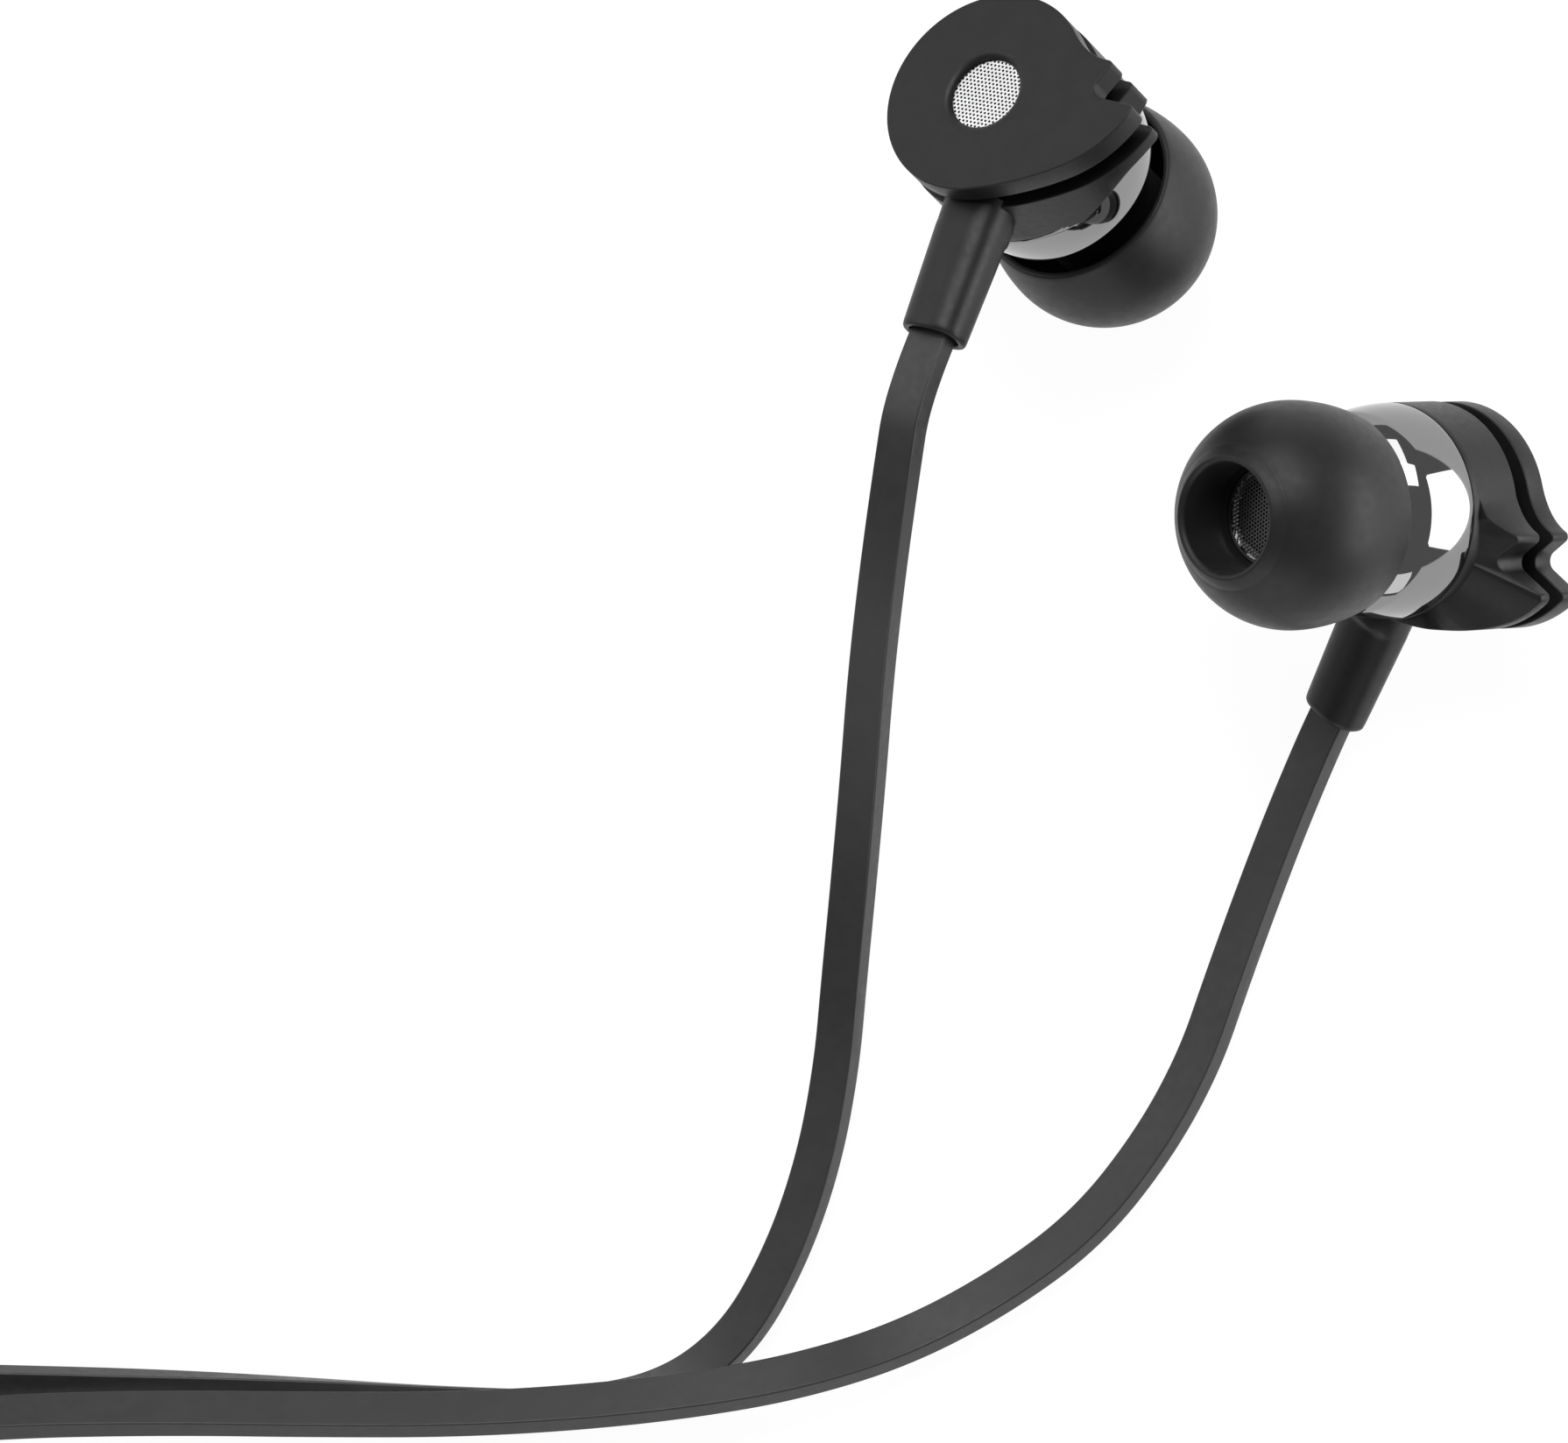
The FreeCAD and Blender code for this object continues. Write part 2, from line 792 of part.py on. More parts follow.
def ear_tip(name):
    """Soft tip: a dome folded back over a core tube that grips the nozzle."""
    centre = tip_centre()
    radius = d.tip_radius
    inner = radius - d.tip_wall
    lip = d.tip_lip_radius
    skirt = centre - d.tip_skirt_length
    drawn_in = d.tip_skirt_draw
    skirt_radius = radius - drawn_in
    bulge = (d.tip_skirt_length * d.tip_skirt_length + drawn_in * drawn_in) / (drawn_in * 2)
    bore = tip_bore()
    step = nozzle_end() + d.tip_fit_clearance
    core_end = skirt + d.tip_core_gap
    core_radius = bore + d.tip_core_wall
    lip_edge = (radius * radius - lip * lip).root() + centre
    mouth = lip_edge + d.tip_lip_height
    core_root = (inner * inner - core_radius * core_radius).root() + centre
    rim_inner = skirt_radius - d.tip_rim_thickness
    return turned(name, [
        (d.tip_mouth_radius, mouth, d.tip_lip_round, -1),
        (lip, lip_edge, radius, -1),
        (radius, centre, bulge, -1),
        (skirt_radius, skirt),
        (rim_inner, skirt, bulge, 1),
        (inner, centre, inner, 1),
        (core_radius, core_root),
        (core_radius, core_end),
        (bore, core_end),
        (bore, step),
        (d.tip_mouth_radius, step)])


def driver(prefix):
    """Loudspeaker: frame, yoke with magnet and pole plate, voice coil, diaphragm and gasket."""
    base = driver_base()
    floor = driver_floor()
    frame_top = driver_frame_top()
    frame_radius = driver_frame_radius()
    wall_radius = frame_radius - d.driver_frame_wall
    pole_low = floor + d.magnet_height
    coil_inner = pole_radius() + d.voice_coil_gap
    coil_top = frame_top - d.voice_coil_drop
    coil_outer = voice_coil_radius()
    yoke_outer = yoke_radius()
    yoke_inner = yoke_outer - d.yoke_wall
    skin = d.diaphragm_thickness
    crown = coil_top + d.diaphragm_rise
    edge = wall_radius - d.diaphragm_clearance
    dome_bulge = coil_outer * coil_outer / (d.diaphragm_rise * 2) + d.diaphragm_rise / 2
    return {
        "terminal_board": disc(prefix + "terminal_board", d.board_radius,
                               base - d.board_thickness, base),
        "driver_yoke": turned(prefix + "driver_yoke", [
            (0, base),
            (yoke_outer, base),
            (yoke_outer, pole_top()),
            (yoke_inner, pole_top()),
            (yoke_inner, floor),
            (0, floor)]),
        "driver_magnet": disc(prefix + "driver_magnet", d.magnet_radius, floor, pole_low),
        "pole_plate": disc(prefix + "pole_plate", pole_radius(), pole_low, pole_top()),
        "driver_frame": turned(prefix + "driver_frame", [
            (yoke_outer, floor),
            (frame_radius, floor),
            (frame_radius, frame_top),
            (wall_radius, frame_top),
            (wall_radius, floor + d.driver_frame_base),
            (yoke_outer, floor + d.driver_frame_base)]),
        "voice_coil": disc(prefix + "voice_coil", coil_outer, coil_top - d.voice_coil_height,
                           coil_top, coil_inner),
        "diaphragm": turned(prefix + "diaphragm", [
            (0, crown, dome_bulge, -1),
            (coil_outer, coil_top),
            (edge, coil_top),
            (edge, coil_top + skin),
            (coil_outer, coil_top + skin, dome_bulge, 1),
            (0, crown + skin)]),
        "driver_gasket": disc(prefix + "driver_gasket", frame_radius, frame_top,
                              frame_top + d.gasket_height, frame_radius - d.gasket_width),
    }


def earbud_pieces(prefix, side):
    """Every piece of one earbud, drawn in the earbud's own frame."""
    grille_low = d.grille_depth
    grille_high = grille_low + d.grille_thickness
    end = nozzle_end()
    mesh_low = end - d.mesh_seat_depth
    mesh_radius = nozzle_bead_radius() - d.mesh_seat_rim - d.mesh_clearance
    pieces = {
        "back_cover": back_cover(prefix + "back_cover", side),
        "back_grille": disc(prefix + "back_grille", d.grille_radius, grille_low, grille_high),
        "back_damper": disc(prefix + "back_damper", d.grille_radius, grille_high,
                            grille_high + d.back_damper_thickness),
        "rear_housing": rear_housing(prefix + "rear_housing", side),
        "strain_relief": strain_relief(prefix + "strain_relief", side),
        "lead_wires": lead_wires(prefix + "lead_wires", side),
        "front_housing": front_housing(prefix + "front_housing"),
        "nozzle_damper": disc(prefix + "nozzle_damper", d.nozzle_root_radius - d.nozzle_wall,
                              mesh_low - d.nozzle_damper_thickness, mesh_low),
        "nozzle_mesh": disc(prefix + "nozzle_mesh", mesh_radius, mesh_low,
                            mesh_low + d.mesh_thickness),
        "ear_tip": ear_tip(prefix + "ear_tip"),
    }
    pieces.update(driver(prefix))
    return pieces


def earbud_turn(prefix):
    heading = Rotation(Vector(0, 0, 1), getattr(d, prefix + "heading").value)
    rise = Rotation(Vector(0, 1, 0), 90 - getattr(d, prefix + "rise").value)
    turn = Rotation(Vector(0, 0, 1), getattr(d, prefix + "turn").value)
    return heading * rise * turn


def lay_down(prefix, pieces):
    """Turns the earbud into its pose and stands its lowest point on the table."""
    turn = earbud_turn(prefix)
    lowest = min(
        turn.multVec(point).z
        for piece in pieces.values()
        for point in piece.Shape.tessellate(TOUCH_DETAIL)[0])
    centre = turn.multVec(Vector(0, 0, tip_centre().value))
    place_x = getattr(d, prefix + "x").value
    place_y = getattr(d, prefix + "y").value
    base = Vector(place_x - centre.x, place_y - centre.y, -lowest)
    pose = Placement(base, turn)
    for name, piece in pieces.items():
        piece.Placement = pose
        nodes[prefix + name] = piece
    return pose


def rounded_run(points):
    """Straight runs joined by tangent arcs as large as their runs allow, and the radii."""
    edges = []
    radii = []
    start = points[0]
    for before, corner, after in zip(points, points[1:], points[2:]):
        shorter = min((before - corner).Length, (after - corner).Length)
        half_angle = (before - corner).getAngle(after - corner) / 2
        radius = ARC_SHARE * shorter * math.tan(half_angle)
        arc_start, arc, arc_end = rounded_corner(before, corner, after, radius)
        edges.append(Part.LineSegment(start, arc_start))
        edges.append(arc)
        radii.append(radius)
        start = arc_end
    edges.append(Part.LineSegment(start, points[-1]))
    return edges, radii


def flat_section(middle, across, through, width, thickness):
    """Rectangular section of a flat cord: its width lies across, its thickness through."""
    half_width = across * (width.value / 2)
    half_thickness = through * (thickness.value / 2)
    return Part.makePolygon([
        middle - half_width - half_thickness,
        middle + half_width - half_thickness,
        middle + half_width + half_thickness,
        middle - half_width + half_thickness,
        middle - half_width - half_thickness])


def sweep(name, section, edges):
    """The section carried along the edges, as a node, and the section at its far end."""
    path = Part.Wire([edge.toShape() for edge in edges])
    pipe = Part.BRepOffsetAPI.MakePipeShell(path)
    pipe.add(section)
    pipe.build()
    far_section = pipe.lastShape()
    pipe.makeSolid()
    cord = doc.addObject("Part::Feature", name)
    cord.Shape = pipe.shape()
    nodes[name] = cord
    area = Part.Face(section).Area
    print("%s: length %.1f mm, volume %.1f, section times length %.1f"
          % (name, path.Length, cord.Shape.Volume, area * path.Length))
    return far_section


def branch(prefix, side, pose, route, outside):
    """A flat cord from its earbud along its route, and then round its put-away loop."""
    x = side * d.stem_offset.value
    y = d.stem_recess_depth.value - d.stem_reach.value
    z = stem_middle().value
    exit_point = pose.multVec(Vector(x, y, z))
    turn = pose.Rotation
    out = turn.multVec(Vector(0, -1, 0))
    section = flat_section(exit_point, turn.multVec(Vector(1, 0, 0)),
                           turn.multVec(Vector(0, 0, 1)), d.branch_width, d.branch_thickness)
    radius = d.loop_radius.value - (0 if outside else d.loop_spacing.value)
    entry = coil_point(0, -radius, d.loop_height.value)
    points = [exit_point, exit_point + out * getattr(d, prefix + "exit_run").value]
    points += [Vector(*place) for place in route]
    points.append(entry)
    edges, radii = rounded_run(points)
    print(prefix + "cord radii", [round(radius, 1) for radius in radii])
    far_section = sweep(prefix + "cord", section, edges)
    step = d.loop_pitch.value / 2
    end = coil_point(d.splitter_length.value / 2, step * 2 - radius, d.loop_height.value)
    left = coil_point(-radius, 0, d.loop_height.value)
    right = coil_point(radius - step, 0, d.loop_height.value)
    top = (left + right) * 0.5 + Vector(0, (right - left).Length / 2, 0)
    edges = tangent_arcs(entry, Vector(-1, 0, 0), left, Vector(0, 1, 0))
    edges.append(Part.Arc(left, top, right))
    edges += tangent_arcs(right, Vector(0, -1, 0), end, Vector(-1, 0, 0))
    sweep(prefix + "cord_turns", far_section, edges)
    return exit_point, end


def coil_point(x, y, z):
    """A point given from the middle of the put-away turns."""
    return Vector(d.coil_x.value + x, d.coil_y.value + y, z)


def coil_radii():
    """Radius at each half turn: in on the lower layer, a climb, and out on the upper one."""
    step = d.coil_pitch.value / 2
    turns = int(d.coil_turns.value)
    lower = [d.coil_radius.value - step * half for half in range(turns * 2)]
    innermost = d.coil_radius.value - step * turns * 2
    climb = [innermost - d.coil_climb_room.value] * 2
    upper = [innermost + step * half for half in range(1, turns * 2 + 2)]
    return lower, climb, upper


def main_cord(splitter_middle):
    """The main cord's coil, from the splitter to where it leaves the turns."""
    low = d.tie_thickness.value + d.main_width.value / 2
    high = low + d.coil_layer_step.value
    straight = d.main_width.value
    start = coil_point(-d.splitter_length.value / 2, splitter_middle, low)
    bend = start - Vector(straight, 0, 0)
    lower, climb, upper = coil_radii()
    heights = [low] * (len(lower) + 1) + [high] * (len(upper) + 1)
    radii = lower + climb + upper
    side = -1
    places = []
    for radius, height in zip(radii, heights):
        places.append(coil_point(side * radius, 0, height))
        side = -side
    edges = [Part.LineSegment(start, bend)]
    edges += tangent_arcs(bend, Vector(-1, 0, 0), places[0], Vector(0, 1, 0))
    heading = Vector(0, 1, 0)
    for here, there in zip(places, places[1:]):
        edges += tangent_arcs(here, heading, there, heading * -1)
        heading = heading * -1
    end = places[-1] + Vector(0, straight, 0)
    edges.append(Part.LineSegment(places[-1], end))
    section = flat_section(start, Vector(0, 0, 1), Vector(0, 1, 0), d.main_width, d.main_thickness)
    far_section = sweep("main_cord_coil", section, edges)
    print("main_cord_coil least gap to itself %.2f mm" % least_gap(nodes["main_cord_coil"].Shape))
    plug_place = coil_point(-radii[-1], d.plug_distance.value, d.plug_grip_radius.value)
    points = [end, end + Vector(0, straight, 0)]
    points += [coil_point(*place) for place in TAIL_ROUTE]
    points += [plug_place - Vector(0, straight, 0), plug_place]
    edges, tail_radii = rounded_run(points)
    print("main_cord_tail radii", [round(radius, 1) for radius in tail_radii])
    sweep("main_cord_tail", far_section, edges)
    return plug_place


def least_gap(shape):
    """Least distance between the coil's passes, on points round its cuts by upright planes."""
    centre = coil_point(0, 0, 0)
    least = math.inf
    for number in range(GAP_PLANES):
        normal = polar(1, 180 * (number + 0.5) / GAP_PLANES)
        rings = [wire.discretize(GAP_POINTS) for wire in shape.slice(normal, normal.dot(centre))]
        for index, ring in enumerate(rings):
            for other in rings[index + 1:]:
                gap = min(here.distanceToPoint(there) for here in ring for there in other)
                least = min(least, gap)
    return least


def y_splitter(middle):
    """Moulded splitter: wide where the two branches enter, narrow where the main cord leaves."""
    name = "y_splitter"
    body = doc.addObject("PartDesign::Body", name)
    half = d.splitter_length / 2
    wide = d.splitter_width / 2
    slim = d.splitter_neck_width / 2
    corner = d.splitter_corner
    waist = half - d.splitter_straight
    sketch = new_sketch(body, name + "_plan", "XY_Plane")
    draw_profile(sketch, [
        (half, wide - corner, corner, 1),
        (half - corner, wide),
        (waist, wide),
        (half * -1, slim),
        (half * -1, slim * -1),
        (waist, wide * -1),
        (half - corner, wide * -1, corner, 1),
        (half, corner - wide)])
    block = pad(body, sketch, name + "_pad", d.splitter_height)
    doc.recompute()
    bevel = body.newObject("PartDesign::Chamfer", name + "_edges")
    bevel.Base = (block, side_edges(block.Shape))
    bind(bevel, "Size", d.splitter_edge)
    body.Placement = Placement(coil_point(0, middle, 0), Rotation())
    nodes[name] = body


def side_edges(shape):
    """Level edges of an upright block along its flanks, not those across its two ends."""
    names = []
    for index, edge in enumerate(shape.Edges, start=1):
        ends = [vertex.Point for vertex in edge.Vertexes]
        is_level = abs(ends[0].z - ends[1].z) < NEARLY_NOTHING
        is_along = abs(ends[0].x - ends[1].x) > NEARLY_NOTHING
        if is_level and is_along:
            names.append("Edge%d" % index)
    return names


def block_between(name, low, high):
    """An upright block between two opposite corners."""
    block = doc.addObject("Part::Box", name)
    block.Length = high.x - low.x
    block.Width = high.y - low.y
    block.Height = high.z - low.z
    block.Placement = Placement(low, Rotation())
    return block


def tie(name, coil, way):
    """A flat band round all the coil's turns, on its far side (way +1) or its near side (-1)."""
    half = d.tie_width.value / 2
    thick = d.tie_thickness.value
    reach = d.loop_radius.value
    slab = Part.makeBox(half * 2, reach, reach, coil_point(-half, min(way, 0) * reach, 0))
    held = coil.common(slab).optimalBoundingBox(False)
    gap = d.tie_gap.value
    low = Vector(d.coil_x.value - half, held.YMin - gap, thick)
    high = Vector(d.coil_x.value + half, held.YMax + gap, held.ZMax + gap)
    margin = Vector(d.cut_margin.value, 0, 0)
    wall = Vector(0, thick, thick)
    ring = doc.addObject("Part::Cut", name)
    ring.Base = block_between(name + "_band", low - wall, high + wall)
    ring.Tool = block_between(name + "_window", low - margin, high + margin)
    return ring


def coil_ties():
    coil = nodes["main_cord_coil"].Shape
    pair = doc.addObject("Part::Compound", "cord_ties")
    pair.Links = [tie("far_tie", coil, 1), tie("near_tie", coil, -1)]
    nodes["cord_ties"] = pair


def plug(place):
    """Three-pole plug, drawn along Z from the end of the cord and laid down along +Y."""
    bevel = d.plug_grip_bevel
    grip_low = d.plug_relief_length
    grip_high = grip_low + d.plug_grip_length
    shaft_low = grip_high + d.plug_collar_length
    sleeve_end = shaft_low + d.plug_sleeve_length
    ring_low = sleeve_end + d.plug_insulator_length
    ring_high = ring_low + d.plug_ring_length
    tip_low = ring_high + d.plug_insulator_length
    tip_high = tip_low + d.plug_tip_length
    cone_high = tip_low + d.plug_tip_straight + d.plug_tip_cone
    bulb_high = tip_high - d.plug_tip_cone
    shaft = d.plug_shaft_radius
    core = d.plug_core_radius
    bush = core + d.plug_insulation
    pieces = {
        "plug_strain_relief": turned("plug_strain_relief", [
            (0, 0),
            (d.plug_relief_radius, 0),
            (d.plug_relief_root_radius, grip_low),
            (0, grip_low)]),
        "plug_grip": turned("plug_grip", [
            (0, grip_low),
            (d.plug_grip_radius - bevel, grip_low),
            (d.plug_grip_radius, grip_low + bevel),
            (d.plug_grip_radius, grip_high - bevel),
            (d.plug_grip_radius - bevel, grip_high),
            (0, grip_high)]),
        "plug_collar": disc("plug_collar", d.plug_collar_radius, grip_high, shaft_low),
        "plug_sleeve": disc("plug_sleeve", shaft, shaft_low, sleeve_end, bush),
        "plug_ring": disc("plug_ring", shaft, ring_low, ring_high, bush),
        "plug_insulators": turned("plug_insulators", [
            (core, shaft_low),
            (bush, shaft_low),
            (bush, sleeve_end),
            (shaft, sleeve_end),
            (shaft, ring_low),
            (bush, ring_low),
            (bush, ring_high),
            (shaft, ring_high),
            (shaft, tip_low),
            (core, tip_low)]),
        "plug_tip": turned("plug_tip", [
            (0, shaft_low),
            (core, shaft_low),
            (core, tip_low),
            (shaft, tip_low),
            (shaft, tip_low + d.plug_tip_straight),
            (d.plug_tip_neck_radius, cone_high),
            (d.plug_tip_bulb_radius, bulb_high),
            (d.plug_tip_point, tip_high),
            (0, tip_high)]),
    }
    laid = Placement(place, Rotation(Vector(1, 0, 0), -90))
    for name, piece in pieces.items():
        piece.Placement = laid
        nodes[name] = piece


fill_sheet()
poses = {}
for prefix, side in (("left_", -1), ("right_", 1)):
    pieces = earbud_pieces(prefix, side)
    doc.recompute()
    poses[prefix] = lay_down(prefix, pieces)
left_exit, left_end = branch("left_", -1, poses["left_"], LEFT_ROUTE, False)
right_exit, right_end = branch("right_", 1, poses["right_"], RIGHT_ROUTE, True)
splitter_middle = (left_end.y + right_end.y) / 2 - d.coil_y.value
y_splitter(splitter_middle)
plug_place = main_cord(splitter_middle)
coil_ties()
plug(plug_place)
doc.recompute()

for item in doc.Objects:
    if "Invalid" in item.State or "Error" in item.State:
        raise RuntimeError("failed: " + item.Name)
for name, node in nodes.items():
    if node.Shape.isNull() or not node.Shape.isValid():
        raise RuntimeError("bad shape: " + name)
os.makedirs("parts", exist_ok=True)
for name, node in nodes.items():
    node.Label = name
    node.Shape.exportStep("parts/" + node.Label + ".step")

whole = FreeCAD.BoundBox()
for node in nodes.values():
    whole.add(node.Shape.optimalBoundingBox(False))
print("%d nodes, %s" % (len(nodes), whole))
for prefix, pose in poses.items():
    print(prefix, "pose", pose)
print("cords leave at", left_exit, right_exit)
print("plug starts at", plug_place)
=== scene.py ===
import math

import bmesh
import bpy
from mathutils import Matrix, Vector


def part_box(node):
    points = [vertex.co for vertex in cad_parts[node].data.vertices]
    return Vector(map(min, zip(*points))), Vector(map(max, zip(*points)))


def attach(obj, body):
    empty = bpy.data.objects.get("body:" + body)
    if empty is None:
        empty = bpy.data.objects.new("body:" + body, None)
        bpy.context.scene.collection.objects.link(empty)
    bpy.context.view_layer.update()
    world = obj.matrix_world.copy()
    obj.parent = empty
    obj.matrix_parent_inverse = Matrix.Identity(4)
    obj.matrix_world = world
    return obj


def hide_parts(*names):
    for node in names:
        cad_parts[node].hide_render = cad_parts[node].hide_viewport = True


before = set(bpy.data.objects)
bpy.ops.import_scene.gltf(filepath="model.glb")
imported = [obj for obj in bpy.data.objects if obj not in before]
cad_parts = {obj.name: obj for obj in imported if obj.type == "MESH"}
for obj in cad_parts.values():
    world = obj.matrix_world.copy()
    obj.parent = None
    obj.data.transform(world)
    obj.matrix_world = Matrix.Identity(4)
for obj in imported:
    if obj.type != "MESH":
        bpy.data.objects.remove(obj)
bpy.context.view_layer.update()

ROOT = "earphones"
MM = 0.001
SIDES = ("left", "right")

# Camera: straight down on the table, at the distance and framing of the photograph
CAMERA_PLACE = Vector((-0.02454, -0.01929, 0.5))
CAMERA_LENS = 205.57

# Studio: how much light the table throws back, its white as seen, and light from all round
TABLE_SHADE = 0.12
TABLE_GLOW = 0.93
AMBIENT = 0.25

# Each earbud's nozzle heading and rise and the turn about it, in degrees, and its hooks' side
POSES = {"left": (-40.97, -51.44, -22.13), "right": (-176.29, 46.15, 141.75)}
HOOK_SIDE = {"left": -1, "right": 1}
MAGNET_MIDDLE = 6.3

# Heights along the nozzle's axis from the outer face of the back cover, radii and the slope of
# the flange, in mm
PLATE_TOP = 1.38
FLANGE_LOW = 2.5
DRUM_TOP = 6.2
BARREL_TOP = 9.4
SHOULDER_TOP = 11.0
NOZZLE_TOP = 16.66
DRUM_RADIUS = 5.95
LEAF_RADIUS = 5.9
NECK_RADIUS = 5.0
SPIGOT_RADIUS = 4.2
GRILLE_RADIUS = 2.6
WINDOW_RADIUS = 2.05
GRILLE_SEAT = 0.35
COVER_SPIGOT_TOP = 3.3
HOOK_ROUND = 0.32
SLOPE_TOP = 5.7
SLOPE_START = 5.45
SLOPE_FALL = math.tan(math.radians(38.0))
FLANGE_TIP_TOP = 3.25
NOZZLE_RADIUS = 2.5
NOZZLE_BORE = 2.1
BEAD_RADIUS = 2.75
SCREEN_SEAT = 16.5
JOINT_LOW = 5.4
TIP_MIDDLE = 14.66
TIP_RADIUS = 6.25
TIP_MOUTH = 20.08
TIP_WALL = 0.7
SKIRT_DEPTH = 3.5
SKIRT_RADIUS = 5.72

# Steps in the arc of a rounded edge, and spacing of a honeycomb's rows as a share of its pitch
EDGE_STEPS = 4
HEX_ROW = 0.866

# Stem and flat cords, in mm
STEM_X = 0.88
STEM_HALF_WIDTH = 2.0
STEM_WIDTH_TAPER = 0.026
STEM_HALF_DEPTH = 1.66
STEM_DEPTH_TAPER = 0.032
STEM_LEAN_X = 0.52
STEM_LEAN = 0.066
STEM_MEASURED = 6.5
STEM_POINTS = 64
STEM_SQUARE = 0.78
STEM_Z = 3.36
STEM_END = 13.15
STEM_RECESS = 1.2
COLLAR_LIP = 0.18
BRANCH = (2.35, 1.2)
MAIN = (2.6, 1.2)
CORD_ROUND = 0.11

# Put-away turns, in mm
COIL = Vector((-100.5, -26.1, 0))
LOOP_Z = 1.25
LOOP_RADIUS = 32.2
LOOP_SPACING = 2.7
LOOP_PITCH = 6.6
COIL_RADIUS = 18.2
COIL_STEP = 0.9
COIL_HALF_TURNS = 8
COIL_CLIMB_ROOM = 0.85
COIL_LOW = 1.8
COIL_LAYER = 3.25
TURN_POINTS = 16
SPLITTER_HALF = 6.0
SPLITTER_MIDDLE = -24.25
SPLITTER_Z = 1.85
PLUG_START = Vector((-119.6, 4.4, 3.2))

# Places that the two cords pass between their earbuds and their turns, in metres
LEFT_ROUTE = [
    (-0.0185, -0.0059, 0.01860),
    (-0.0192, -0.0111, 0.01600),
    (-0.0198, -0.0167, 0.01150),
    (-0.0202, -0.0225, 0.00700),
    (-0.0207, -0.0284, 0.00340),
    (-0.0212, -0.0337, 0.00170),
    (-0.0216, -0.0384, 0.00125),
    (-0.0226, -0.0438, 0.00125),
    (-0.0244, -0.0490, 0.00125),
    (-0.0271, -0.0538, 0.00125),
    (-0.0312, -0.0568, 0.00125),
    (-0.0370, -0.0577, 0.00125),
    (-0.0438, -0.0575, 0.00125),
    (-0.0521, -0.0570, 0.00125),
    (-0.0604, -0.0566, 0.00125),
    (-0.0682, -0.0564, 0.00125),
    (-0.0764, -0.0562, 0.00125),
    (-0.0848, -0.0559, 0.00125),
    (-0.0930, -0.0556, 0.00125),
]
RIGHT_ROUTE = [
    (0.0036, -0.0244, 0.00135),
    (0.0018, -0.0291, 0.00135),
    (0.0001, -0.0338, 0.00135),
    (-0.0014, -0.0382, 0.00135),
    (-0.0039, -0.0428, 0.00135),
    (-0.0076, -0.0475, 0.00135),
    (-0.0125, -0.0511, 0.00138),
    (-0.0179, -0.0539, 0.00200),
    (-0.0237, -0.0556, 0.00345),
    (-0.0295, -0.0566, 0.00385),
    (-0.0359, -0.0573, 0.00385),
    (-0.0428, -0.0577, 0.00372),
    (-0.0505, -0.0577, 0.00372),
    (-0.0588, -0.0576, 0.00372),
    (-0.0680, -0.0578, 0.00355),
    (-0.0756, -0.0586, 0.00310),
    (-0.0838, -0.0589, 0.00200),
    (-0.0924, -0.0583, 0.00125),
]
# Places of the main cord between its coil and the plug, in mm from the coil's middle
TAIL_ROUTE = [
    (-19.3, 10.8, 4.95),
    (-19.7, 15.8, 4.6),
    (-19.6, 20.8, 4.2),
    (-19.3, 25.3, 4.1),
]
# Straight run of each cord out of its stem, in metres
EXIT_RUN = {"left": 0.0045, "right": 0.0019}


def local_matrix(side):
    """From an earbud's own frame, in millimetres, to the scene."""
    heading, rise, turn = (math.radians(angle) for angle in POSES[side])
    rotation = (
        Matrix.Rotation(heading, 4, "Z")
        @ Matrix.Rotation(math.radians(90) - rise, 4, "Y")
        @ Matrix.Rotation(turn, 4, "Z"))
    low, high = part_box(side + "_driver_magnet")
    origin = (low + high) / 2 - rotation @ Vector((0, 0, MAGNET_MIDDLE * MM))
    return Matrix.Translation(origin) @ rotation @ Matrix.Scale(MM, 4)


LOCAL = {side: local_matrix(side) for side in SIDES}
COIL_LOCAL = Matrix.Translation(COIL * MM) @ Matrix.Scale(MM, 4)


# Materials


def linear(level):
    """Linear value of an 8-bit sRGB level."""
    share = level / 255
    return share / 12.92 if share <= 0.04045 else ((share + 0.055) / 1.055) ** 2.4


def grey(level):
    value = linear(level)
    return (value, value, value, 1)


